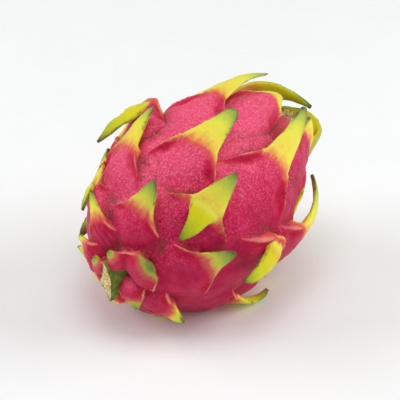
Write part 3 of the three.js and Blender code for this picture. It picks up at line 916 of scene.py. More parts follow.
SCALES: dict[str, Scale] = {
    # seen from the front, middle of the fruit
    "star": Scale(
        -27, 46, 17, 5, 5.4, lean=-9, blade=Blade(7.6, 17.5, lift=14),
        back=Blade(8, 21.5, 3.2, 7, -24, 4, waist=0.6), tint=Tint(-2.5, 2.0, 0.56, olive=0.12),
        puff=0.2,
    ),
    "upper": Scale(
        -10, 18, 18, 12, 4.6, blade=Blade(8.6, 23, lift=7, side=9, point=0.05),
        tint=Tint(-1.0, 5.0, 0.66), puff=0.2,
    ),
    "top_left": Scale(
        -20, 335, 17, 13, 4.2, lean=8, blade=Blade(7.2, 20, lift=10, curl=-6, side=20, point=0.2),
        tint=Tint(-1.5, 3.0, 0.66),
    ),
    "lower": Scale(
        -38, 79, 16, 7, 4.2, lean=-8, blade=Blade(7.4, 13, lift=10),
        tint=Tint(0.8, 3.0, 0.3, olive=0.45), puff=1.4,
    ),
    "left": Scale(
        -42, 12, 13, 5, 4.4, 18, 6, Blade(6.4, 13.5, lift=9), tint=Tint(0.0, 2.5, 0.36, olive=0.3),
        puff=1.6,
    ),
    "right_back": Scale(
        -5, 94, 19, 9, 6, lean=-30, blade=stump(),
        back=Blade(7.2, 27, 3.2, 3, -20, 48, twist=-10, waist=0.2), tint=Tint(0.0, 2.0, 0.66),
        puff=-0.8,
    ),
    "top_back": Scale(
        4.5, 326, 14, 8, 9, blade=stump(), back=Blade(6.2, 33, 3.2, -2, -8, 4, twist=24, waist=0.2),
        puff=1.6, tint=Tint(-1.0, 3.0, 0.6, olive=0.3),
    ),
    "top_long": Scale(
        21, 354, 18, 13, 4.2, 32, blade=Blade(6.6, 36, lift=17, curl=-31, side=10, point=0.0),
        tint=Tint(1.0, 3.0, 0.66),
    ),
    "big_right": Scale(
        12, 56, 21, 17, 4.8, 34, -10, Blade(7.8, 30, lift=12, curl=-8, side=-8),
        tint=Tint(-1.5, 6.0, 0.7), puff=0.2,
    ),
    "edge_right": Scale(
        12.5, 113, 15, 12, 7.3, 28, blade=Blade(6.4, 33, lift=16, curl=-60, side=-16, twist=20),
        tint=Tint(0.0, 3.0, 0.55), puff=2.4,
    ),
    "low_right": Scale(
        -21, 141, 14, 6, blade=Blade(6, 21, lift=44, curl=-64, side=-12, twist=-20),
        tint=Tint(0.0, 3.0, 0.5),
    ),
    # towards the stem
    "foot": Scale(-49, 131, 11, 5, ramp=13, blade=Blade(6, 9, lift=30), tint=Tint(1.5, 2.0, 0.5), puff=1.4),
    "cheek": Scale(
        -48, 332, 10, 5, 4.4, 12, blade=Blade(4.5, 13, lift=18), tint=Tint(1.0, 1.5, 0.4), ripple=1.0,
        puff=2.0,
    ),
    "far_star": Scale(
        -34, 314, 12, 6, ramp=18, blade=Blade(5, 18, lift=-6), back=Blade(4.5, 18, 3.2, 10, -10, -6),
        tint=Tint(-1.0, 2.0, 0.5), puff=1.4,
    ),
    "chin": Scale(
        -52, 294, 9, 4, 4.4, 10, blade=Blade(4.6, 8, lift=6), tint=Tint(2.5, 1.0, 0.4), ripple=1.0,
        puff=2.0,
    ),
    "pillow": Scale(
        -51.5, 54, 11.5, 7, 5.6, 11.5, blade=Blade(6.5, 2.5, lift=-8, point=0.1),
        tint=Tint(-1.6, 2, 0.15, olive=0.9, narrow=3), puff=3.4,
    ),
    "lobe_top": Scale(
        -54.3, 2, 7, 4, 4.8, 7, -50, Blade(4.6, 3.5, 3, 0, point=0.1),
        tint=Tint(-0.6, 1.5, 0.15, olive=0.8, narrow=3), puff=3.6,
    ),
    "lobe_left": Scale(
        -55, 302, 6.5, 4, 4.8, 6.5, 20, Blade(4.6, 3, 3, -4, point=0.0),
        tint=Tint(-0.8, 1.5, 0.15, olive=0.8, narrow=3), puff=3.6,
    ),
    "lobe_low": Scale(
        -55.2, 128, 6.4, 4, 4.8, 7, 40, Blade(4.2, 5, 3, 14, point=0.5),
        tint=Tint(-0.6, 1, 0.2, olive=0.7, narrow=2), puff=3.6,
    ),
    "lobe_far": Scale(
        -54.5, 196, 7, 4, 4, 6.5, blade=Blade(4, 6, 3, 8), tint=Tint(1.8, 1.0, 0.4), puff=1.8,
    ),
    "lobe_back": Scale(-54, 246, 6, 4, 3, 6.5, blade=Blade(4, 5, 3, 4), tint=Tint(1.8, 1.0, 0.4), puff=1.0),
    # the crown
    "torn": Scale(
        37, 19, 13, 12, 4.2, ramp=44, blade=Blade(9.4, 15, 3, 20, -34, point=0.0),
        tint=Tint(0.0, 2.0, 0.6, pink=0.35, narrow=-8, most=0.46, hollow=0.8), ripple=1.2,
    ),
    "crown_a": Scale(
        36, 77, 13, 12, 2.2, 28, blade=Blade(8, 28, lift=14, curl=-22, side=-2),
        tint=Tint(0.0, 5.0, 0.75, pink=0.4), puff=0.0,
    ),
    "crown_b": Scale(
        45, 103, 9, 10, 2.4, 30, puff=0.0, blade=Blade(7.0, 42, lift=52, curl=-136, twist=-50),
        tint=Tint(-4.0, 5.0, 0.72, 0.7),
    ),
    "crown_arc": Scale(
        41, 322, 12, 10, 2.6, ramp=30, blade=Blade(7.4, 45, lift=22, curl=-62, side=26, twist=34),
        tint=Tint(-4.0, 5.0, 0.78, 0.7),
    ),
    "inner_a": Scale(
        39, 50, 11, 8, 2.4, 20, blade=Blade(8, 7.5, lift=0, curl=-20),
        tint=Tint(4.0, 1.0, 0.95, pink=0.8, dusk=1.0),
    ),
    # the side away from the front
    "under_stem": Scale(
        -44, 170, 11, 6, ramp=14, blade=Blade(4.5, 9, lift=4), tint=Tint(0.5, 2.0, 0.45), puff=1.0,
    ),
    "far_low": Scale(-37, 218, 15, 7, 4.2, blade=Blade(6, 13), tint=Tint(0.5, 3.0, 0.45), puff=1.4),
    "far_cheek": Scale(
        -46, 256, 12, 6, 4.2, 14, blade=Blade(5, 11, lift=16), tint=Tint(0.5, 2.0, 0.45), ripple=0.6,
        puff=1.8,
    ),
    "under_front": Scale(-26, 157, 13, 7, blade=Blade(5, 12, lift=0), tint=Tint(0.5, 3.0, 0.5)),
    "under_back": Scale(-19, 208, 14, 8, blade=Blade(5.5, 15, lift=2), tint=Tint(0.5, 3.0, 0.5)),
    "far_middle": Scale(
        -24, 262, 17, 6, 4.4, blade=Blade(6.5, 17, lift=20), back=Blade(6, 20, 3.2, 6, -20, -4),
        tint=Tint(-2.0, 2.0, 0.6), puff=1.2,
    ),
    "side_low": Scale(-1, 143, 17, 10, 4.6, blade=Blade(6, 18), tint=Tint(0.0, 3.0, 0.6), puff=2.6),
    "far_belly": Scale(
        3, 232, 18, 11, 4.4, blade=Blade(7, 23, lift=18, curl=-6), tint=Tint(0.0, 3.0, 0.66),
    ),
    "far_upper": Scale(
        -6, 294, 18, 10, 4.4, blade=Blade(7, 23, lift=18, curl=-6), tint=Tint(-0.5, 3.0, 0.7),
    ),
    "prop": Scale(7, 186, blade=Blade(7.5, 26, 4, 46, -52), tint=Tint(0.0, 3.0, 0.6)),
    "far_back": Scale(
        16, 262, 15, 10, 4.2, blade=stump(), back=Blade(6, 28, 3.2, 6, -24, 6),
        tint=Tint(0.0, 3.0, 0.6, olive=0.2),
    ),
    "low_crown": Scale(28, 146, 14, 12, blade=Blade(6.5, 27, lift=20, curl=-30), tint=Tint(0.5, 3.0, 0.66)),
    "far_crown": Scale(29, 214, 14, 12, blade=Blade(6.5, 29, lift=22, curl=-36), tint=Tint(0.5, 3.0, 0.7)),
    "back_crown": Scale(28, 296, 15, 12, blade=Blade(7, 30, lift=22, curl=-30), tint=Tint(0.0, 3.0, 0.75)),
    # the inner ring of the crown
    "inner_b": Scale(
        43, 168, 12, 8, 3, 22, blade=Blade(6.5, 27, lift=14, curl=-60), tint=Tint(-1, 3, 0.8, 0.5),
    ),
    "inner_c": Scale(
        42, 238, 12, 8, 3, 22, blade=Blade(6.5, 30, lift=18, curl=-74), tint=Tint(-1, 3, 0.8, 0.5),
    ),
    "inner_d": Scale(
        45, 290, 10, 7, 3, 16, blade=Blade(6, 22, lift=14, curl=-66), tint=Tint(-1, 3, 0.8, 0.5),
    ),
}


# -------------------------------------------------------------------------------------------- shader graphs


def linear(colour: Colour) -> tuple[float, float, float, float]:
    """A colour given as it looks on screen, from 0 to 255, as a shader's linear value.

    Args:
        colour: The red, green and blue.

    Returns:
        The linear red, green and blue, and 1 for solid.
    """
    shares = [c / 255.0 for c in colour]
    light = [s / 12.92 if s <= 0.04045 else ((s + 0.055) / 1.055) ** 2.4 for s in shares]
    return light[0], light[1], light[2], 1.0


Socket = bpy.types.NodeSocket
Value = Socket | float


class Graph:
    """Short ways to add and join shader nodes in one tree."""

    def __init__(self, tree: bpy.types.NodeTree) -> None:
        """Keeps the tree and clears it."""
        self.tree = tree
        tree.nodes.clear()

    def add(self, kind: str, **settings: object) -> bpy.types.Node:
        """A new node of a kind, with its settings.

        Args:
            kind: The node's type.
            **settings: Its properties, by name.

        Returns:
            The node.
        """
        node = self.tree.nodes.new(kind)
        for key, value in settings.items():
            setattr(node, key, value)
        return node

    def feed(self, socket: Socket, value: Value | Colour | Vector) -> None:
        """Links a socket's source, or sets its value.

        Args:
            socket: The socket.
            value: What it is fed.
        """
        if isinstance(value, Socket):
            self.tree.links.new(value, socket)
        else:
            socket.default_value = value

    def mark(self, name: str, output: str = "Fac") -> Socket:
        """One of the mesh's own marks."""
        return self.add("ShaderNodeAttribute", attribute_name=name).outputs[output]

    def maths(self, operation: str, a: Value, b: Value = 0.0, c: Value = 0.0, hold: bool = False) -> Socket:
        """The result of one sum.

        Args:
            operation: What to do, by the name that the node gives it.
            a: The first value.
            b: The second value.
            c: The third value.
            hold: Whether to hold the result between 0 and 1.

        Returns:
            The result.
        """
        node = self.add("ShaderNodeMath", operation=operation, use_clamp=hold)
        for socket, value in zip(node.inputs, (a, b, c)):
            self.feed(socket, value)
        return node.outputs[0]

    def span(self, value: Value, low: float, high: float, start: float = 0.0, end: float = 1.0) -> Socket:
        """A value taken smoothly from one span to another and held at its ends.

        Args:
            value: The value.
            low: Where it starts.
            high: Where it ends.
            start: What low gives.
            end: What high gives.

        Returns:
            The value on the new span.
        """
        node = self.add("ShaderNodeMapRange", interpolation_type="SMOOTHSTEP")
        for socket, number in zip(node.inputs, (value, low, high, start, end)):
            self.feed(socket, number)
        return node.outputs[0]

    def times(self, first: Value, *others: Value) -> Socket:
        """The product of all the values.

        Args:
            first: The first value.
            *others: The others.

        Returns:
            The product.
        """
        for other in others:
            first = self.maths("MULTIPLY", first, other)
        return first

    def blend(self, share: Value, a: Socket | tuple, b: Socket | tuple) -> Socket:
        """One colour laid over another.

        Args:
            share: How much of the second colour shows.
            a: The first colour.
            b: The second colour.

        Returns:
            The mixed colour.
        """
        node = self.add("ShaderNodeMix", data_type="RGBA", clamp_factor=True)
        self.feed(node.inputs[0], share)
        self.feed(node.inputs[6], a)
        self.feed(node.inputs[7], b)
        return node.outputs[2]

    def wash(self, under: Socket, colour: Colour, *shares: Value) -> Socket:
        """A flat colour, given as it looks on screen, washed over another by the product of the shares."""
        return self.blend(self.times(*shares), under, linear(colour))

    def ladder(self, value: Value, stops: Sequence[tuple[float, Colour]]) -> Socket:
        """A colour read off a ladder of colours, each given as it looks on screen.

        Args:
            value: Where on the ladder.
            stops: The places and the colours, from 0 to 1.

        Returns:
            The colour.
        """
        node = self.add("ShaderNodeValToRGB")
        self.feed(node.inputs[0], value)
        elements = node.color_ramp.elements
        while len(elements) < len(stops):
            elements.new(1.0)
        for element, (place, colour) in zip(elements, stops):
            element.position = place
            element.color = linear(colour)
        return node.outputs[0]

    def noise(self, where: Socket, size: float, detail: float = 2.0, rough: float = 0.5) -> Socket:
        """Cloudy values from 0 to 1 whose lumps have a size in the vector's own unit.

        Args:
            where: The place.
            size: The size of a lump.
            detail: How many finer layers it has.
            rough: How strong they are.

        Returns:
            The values.
        """
        node = self.add("ShaderNodeTexNoise")
        self.feed(node.inputs["Vector"], where)
        self.feed(node.inputs["Scale"], 1.0 / size)
        self.feed(node.inputs["Detail"], detail)
        self.feed(node.inputs["Roughness"], rough)
        return node.outputs[0]

    def cells(self, where: Socket, size: float) -> Socket:
        """Distance to the nearest of many scattered points, whose spacing has a size.

        Args:
            where: The place.
            size: The spacing.

        Returns:
            The distance, as a share of the spacing.
        """
        node = self.add("ShaderNodeTexVoronoi")
        self.feed(node.inputs["Vector"], where)
        self.feed(node.inputs["Scale"], 1.0 / size)
        return node.outputs["Distance"]

    def scaled(self, where: Socket, factors: tuple[float, float, float]) -> Socket:
        """A vector multiplied number by number.

        Args:
            where: The vector.
            factors: The three numbers.

        Returns:
            The vector.
        """
        node = self.add("ShaderNodeVectorMath", operation="MULTIPLY")
        self.feed(node.inputs[0], where)
        node.inputs[1].default_value = factors
        return node.outputs[0]

    def shrunk(self, where: Socket, size: Socket) -> Socket:
        """A vector divided by a size that comes from a socket.

        Args:
            where: The vector.
            size: The size.

        Returns:
            The vector.
        """
        node = self.add("ShaderNodeVectorMath", operation="SCALE")
        self.feed(node.inputs[0], where)
        self.feed(node.inputs["Scale"], self.maths("DIVIDE", 1.0, size))
        return node.outputs[0]

    def above(self, value: Socket, cover: Socket, steep: float) -> Socket:
        """1 over the covered share of a cloudy value, with an edge of a steepness."""
        over = self.maths("SUBTRACT", value, self.maths("SUBTRACT", 1.0, cover))
        return self.maths("MULTIPLY", over, steep, hold=True)


class Effect(Enum):
    """The effects that several materials share, each one node group."""

    SPECKLE = "speckle"
    FIBRES = "fibres"
    STAIN = "stain"


class Effects:
    """The shared effects, built once and placed where they are wanted."""

    def __init__(self) -> None:
        """Builds every group."""
        makers: dict[Effect, Callable[[], bpy.types.NodeTree]] = {
            Effect.SPECKLE: self.speckle,
            Effect.FIBRES: self.fibres,
            Effect.STAIN: self.stain,
        }
        self.groups = {effect: make() for effect, make in makers.items()}

    @staticmethod
    def group(name: str, inputs: dict[str, float], outputs: Sequence[str]) -> tuple[Graph, dict, dict]:
        """A node group that takes a place called Where and some numbers, and gives some numbers.

        Args:
            name: The group's name.
            inputs: The first value of each number that it takes, by name.
            outputs: The name of each number that it gives.

        Returns:
            The graph, its input sockets and its output sockets.
        """
        tree = bpy.data.node_groups.new(name, "ShaderNodeTree")
        tree.interface.new_socket("Where", in_out="INPUT", socket_type="NodeSocketVector")
        for label, start in inputs.items():
            socket = tree.interface.new_socket(label, in_out="INPUT", socket_type="NodeSocketFloat")
            socket.default_value = start
        for label in outputs:
            tree.interface.new_socket(label, in_out="OUTPUT", socket_type="NodeSocketFloat")
        graph = Graph(tree)
        source, sink = graph.add("NodeGroupInput"), graph.add("NodeGroupOutput")
        return graph, dict(source.outputs.items()), dict(sink.inputs.items())

    def speckle(self) -> bpy.types.NodeTree:
        """Fine pale flecks of two sizes, with a height to raise them by.

        Returns:
            The node group.
        """
        graph, source, sink = self.group("speckle", {"Size": 1.0, "Cover": 0.5}, ["Flecks", "Height"])
        where = graph.shrunk(source["Where"], source["Size"])
        fine = graph.noise(where, 1.0, 1.0)
        coarse = graph.noise(where, 2.7, 1.0)
        both = graph.maths("MULTIPLY_ADD", coarse, 0.45, graph.times(fine, 0.55))
        graph.feed(sink["Flecks"], graph.above(both, source["Cover"], 7.0))
        graph.feed(sink["Height"], graph.maths("MULTIPLY_ADD", fine, 0.6, graph.times(coarse, 0.4)))
        return graph.tree

    def fibres(self) -> bpy.types.NodeTree:
        """Streaks that run along the vector's second direction.

        Returns:
            The node group.
        """
        graph, source, sink = self.group("fibres", {"Width": 0.8, "Length": 8.0}, ["Streaks", "Fine"])
        parts = graph.add("ShaderNodeSeparateXYZ")
        graph.feed(parts.inputs[0], source["Where"])
        joined = graph.add("ShaderNodeCombineXYZ")
        graph.feed(joined.inputs[0], graph.maths("DIVIDE", parts.outputs[0], source["Width"]))
        graph.feed(joined.inputs[1], graph.maths("DIVIDE", parts.outputs[1], source["Length"]))
        graph.feed(joined.inputs[2], parts.outputs[2])
        graph.feed(sink["Streaks"], graph.noise(joined.outputs[0], 1.0, 2.0))
        graph.feed(sink["Fine"], graph.noise(graph.scaled(joined.outputs[0], (2.6, 1.4, 1.0)), 1.0, 1.0))
        return graph.tree

    def stain(self) -> bpy.types.NodeTree:
        """Soft blotches with broken edges.

        Returns:
            The node group.
        """
        graph, source, sink = self.group("stain", {"Size": 5.0, "Cover": 0.4}, ["Stain"])
        cloud = graph.noise(graph.shrunk(source["Where"], source["Size"]), 1.0, 4.0, 0.6)
        graph.feed(sink["Stain"], graph.above(cloud, source["Cover"], 5.0))
        return graph.tree

    def place(self, graph: Graph, effect: Effect, output: str, **values: Value) -> Socket:
        """One effect placed in a material.

        Args:
            graph: The material's graph.
            effect: Which effect.
            output: Which of its results to use.
            **values: What its inputs take, by name in lower case.

        Returns:
            The result's socket.
        """
        node = graph.add("ShaderNodeGroup")
        node.node_tree = self.groups[effect]
        for key, value in values.items():
            graph.feed(node.inputs[key.capitalize()], value)
        return node.outputs[output]


@dataclass(frozen=True)
class Finish:
    """The plain numbers of a surface: roughness, reflection, height of relief in millimetres, and sheen."""

    roughness: float
    specular: float
    relief: float
    sheen: float = 0.0
    sheen_roughness: float = 0.4

    def shader(self, graph: Graph, colour: Socket, rough: Value, height: Socket) -> None:
        """Ends a material's graph in its shader.

        Args:
            graph: The material's graph.
            colour: The base colour.
            rough: The roughness.
            height: The height that bends the light, as a share of the relief.
        """
        shader = graph.add("ShaderNodeBsdfPrincipled")
        graph.feed(shader.inputs["Base Color"], colour)
        graph.feed(shader.inputs["Roughness"], rough)
        shader.inputs["Specular IOR Level"].default_value = self.specular
        shader.inputs["Sheen Weight"].default_value = self.sheen
        shader.inputs["Sheen Roughness"].default_value = self.sheen_roughness
        bump = graph.add("ShaderNodeBump")
        bump.inputs["Distance"].default_value = self.relief * MM
        graph.feed(bump.inputs["Height"], height)
        graph.feed(shader.inputs["Normal"], bump.outputs[0])
        out = graph.add("ShaderNodeOutputMaterial")
        graph.tree.links.new(shader.outputs[0], out.inputs[0])


def blank(name: str) -> tuple[bpy.types.Material, Graph, Socket]:
    """A new material with an empty graph.

    Args:
        name: The material's name.

    Returns:
        The material, its graph and the place on the object in millimetres.
    """
    material = bpy.data.materials.new(name)
    material.use_nodes = True
    graph = Graph(material.node_tree)
    place = graph.scaled(graph.add("ShaderNodeTexCoord").outputs["Object"], (1000.0, 1000.0, 1000.0))
    return material, graph, place


class RindFinish:
    """The waxy rind: pink skin, and scales that turn peach, yellow, lime and green to a brown tip."""

    finish = Finish(roughness=0.5, specular=0.16, relief=0.26, sheen=0.06)
    # colours as they look on screen: the skin's pinks, read off clouds and the painted top light, then the
    # rest by the ripeness where each stands
    skin_pinks = [(0.1, (174, 0, 62)), (0.5, (204, 0, 76)), (0.9, (236, 68, 112))]
    outer_colours = [
        (0.0, (224, 84, 80)),
        (0.05, (236, 134, 80)),
        (0.1, (241, 187, 78)),
        (0.17, (242, 223, 76)),
        (0.34, (234, 229, 74)),
        (0.52, (208, 215, 68)),
        (0.7, (174, 192, 66)),
        (0.87, (136, 153, 62)),
        (0.97, (98, 100, 50)),
        (1.0, (66, 50, 36)),
    ]
    inner_colours = [
        (0.0, (210, 74, 62)),
        (0.1, (230, 150, 46)),
        (0.25, (230, 214, 12)),
        (0.6, (206, 206, 12)),
        (0.85, (162, 172, 26)),
        (1.0, (92, 88, 40)),
    ]
    olive_colours = [
        (0.0, (196, 100, 84)),
        (0.07, (182, 152, 78)),
        (0.2, (154, 162, 62)),
        (0.5, (124, 142, 58)),
        (0.9, (98, 112, 50)),
        (1.0, (72, 68, 38)),
    ]

    def __init__(self, effects: Effects) -> None:
        """Keeps the shared effects and starts the material."""
        self.effects = effects
        self.material, self.graph, self.place = blank("rind")

    def effect(self, effect: Effect, output: str, where: Socket, **values: Value) -> Socket:
        """A shared effect placed in the rind."""
        return self.effects.place(self.graph, effect, output, where=where, **values)

    def pink(self) -> Socket:
        """The skin's colour with its clouds, flecks and stains, painted shade in the valleys, a painted
        highlight on the crests, and painted top light that pales the upper side.

        Returns:
            The colour.
        """
        graph, place = self.graph, self.place
        # painted top light: the skin is painted paler where it faces up as the fruit lies
        painted_top_light = graph.mark("painted_top_light")
        lightness = graph.maths("SUBTRACT", painted_top_light, 0.45)
        cloud = graph.maths("MULTIPLY_ADD", graph.noise(place, 12.0, 4.0), 0.9, lightness, hold=True)
        skin = graph.ladder(cloud, self.skin_pinks)
        # painted shade: dark crimson washed into the valleys
        skin = graph.wash(skin, (144, 0, 42), graph.mark("valley"), 0.85)
        # painted highlight: paler pink on the crests
        skin = graph.wash(skin, (234, 72, 110), graph.mark("crest_highlight"), 0.3)
        flecks = self.effect(Effect.SPECKLE, "Flecks", place, size=0.36, cover=0.5)
        # pale flecks, painted paler still on the upper side by the same top light
        pale = graph.blend(painted_top_light, linear((220, 28, 98)), linear((254, 180, 194)))
        skin = graph.blend(graph.times(flecks, 0.5), skin, pale)
        mirrored = graph.scaled(place, (1.0, -1.0, 1.0))
        dark = self.effect(Effect.SPECKLE, "Flecks", mirrored, size=0.8, cover=0.44)
        skin = graph.wash(skin, (168, 4, 52), dark, 0.3)
        stain = self.effect(Effect.STAIN, "Stain", place, size=9.0, cover=0.42)
        skin = graph.wash(skin, (186, 0, 48), stain, 0.4)
        return graph.wash(skin, (182, 58, 66), graph.mark("dusk"), 0.75)

    def seams(self, colour: Socket) -> Socket:
        """The brownish stippled seams at the bottom of the grooves, and scattered pale pores.

        Args:
            colour: The colour so far.

        Returns:
            The colour with seams and pores.
        """
        graph, place = self.graph, self.place
        seam = graph.span(graph.mark("seam"), 0.45, 1.0)
        stipple = graph.span(graph.noise(place, 0.7, 2.0), 0.44, 0.56)
        colour = graph.wash(colour, (136, 70, 46), seam, graph.maths("MULTIPLY_ADD", stipple, 0.42, 0.16))
        dots = graph.span(graph.cells(place, 2.6), 0.16, 0.08)
        pick = graph.span(graph.noise(place, 9.0, 1.0), 0.5, 0.62)
        near = graph.maths("MULTIPLY_ADD", graph.mark("valley"), 0.8, 0.25)
        return graph.wash(colour, (238, 196, 120), dots, pick, near)

    def blade(self, moved: Socket, streaks: Socket, blotch: Socket) -> Socket:
        """The colour of the free blades, which turns with ripeness and is more orange on their inner face.

        Args:
            moved: The ripeness, shaken a little.
            streaks: The streaks along the blade.
            blotch: Cloudy values.

        Returns:
            The colour.
        """
        graph = self.graph
        blade = graph.ladder(moved, self.outer_colours)
        blade = graph.wash(blade, (214, 222, 120), graph.span(streaks, 0.5, 0.75), 0.35)
        blade = graph.blend(graph.mark("tone"), blade, graph.ladder(moved, self.olive_colours))
        bloom = graph.times(graph.span(moved, 0.45, 0.8), graph.span(blotch, 0.38, 0.66))
        blade = graph.wash(blade, (178, 190, 120), bloom, 0.3)
        inside = graph.times(graph.span(graph.mark("under"), 0.5, 0.95), 0.88)
        return graph.blend(inside, blade, graph.ladder(moved, self.inner_colours))

    def rims(self, skin: Socket, ripe: Socket) -> Socket:
        """Painted shade of crimson a little way in from the rim of each ridge, in the trough behind its lip,
        and a pale lip along the rim itself.

        Args:
            skin: The pink so far.
            ripe: The ripeness.

        Returns:
            The colour with flush and lip.
        """
        graph = self.graph
        rim = graph.mark("rim")
        # painted shade: crimson a little way in from the rim, where the trough lies
        skin = graph.wash(skin, (196, 0, 52), graph.span(rim, 6.0, 1.4), graph.span(rim, 0.6, 1.1), 0.78)
        lip = graph.times(graph.span(rim, 0.6, 0.28), graph.span(ripe, -0.8, -0.05))
        return graph.wash(skin, (248, 176, 122), lip, graph.span(graph.mark("under"), 0.4, 0.05, 0.0, 0.7))

    def build(self) -> bpy.types.Material:
        """The whole material.

        Returns:
            The rind's material.
        """
        graph, place = self.graph, self.place
        lay = graph.mark("lay", "Vector")
        streaks = self.effect(Effect.FIBRES, "Streaks", lay, width=1.1, length=9.0)
        blotch = graph.noise(place, 3.6, 3.0, 0.6)
        shake = graph.maths("MULTIPLY_ADD", streaks, 0.05, graph.maths("MULTIPLY_ADD", blotch, 0.22, -0.13))
        ripe = graph.mark("ripe")
        moved = graph.maths("ADD", ripe, shake)
        skin = self.rims(self.seams(self.pink()), ripe)
        colour = graph.blend(graph.span(moved, -0.22, 0.04), skin, self.blade(moved, streaks, blotch))
        edge = graph.span(graph.mark("rim"), 0.55, 0.1)
        broken = graph.span(graph.noise(place, 2.2, 3.0), 0.46, 0.6)
        colour = graph.wash(colour, (136, 92, 50), edge, broken, graph.span(moved, 0.2, 0.5), 0.7)
        grains = self.effect(Effect.SPECKLE, "Height", place, size=0.55, cover=0.5)
        fine = self.effect(Effect.FIBRES, "Fine", lay, width=0.8, length=6.0)
        height = graph.maths("ADD", grains, graph.times(fine, graph.span(moved, -0.1, 0.1, 0.4, 0.8)))
        rough = graph.maths("MULTIPLY_ADD", graph.noise(place, 2.0, 2.0), 0.16, self.finish.roughness - 0.08)
        self.finish.shader(graph, colour, rough, height)
        return self.material


# ----------------------------------------------------------------------------------------------- the pieces


def show(surface: Surface, name: str, node: str, material: bpy.types.Material) -> None:
    """Puts a finished surface into the scene for its solid.

    Args:
        surface: The surface, in millimetres.
        name: The piece's name.
        node: The solid that it stands for.
        material: The material.
    """
    ready = Surface(surface.points * MM, surface.faces, surface.marks)
    piece = bpy.data.objects.new(name, ready.mesh(name))
    piece.data.materials.append(material)
    bpy.context.scene.collection.objects.link(piece)
    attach(piece, "root")
    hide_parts(node)
    LOG.info("%s: %d triangles", name, len(surface.faces))


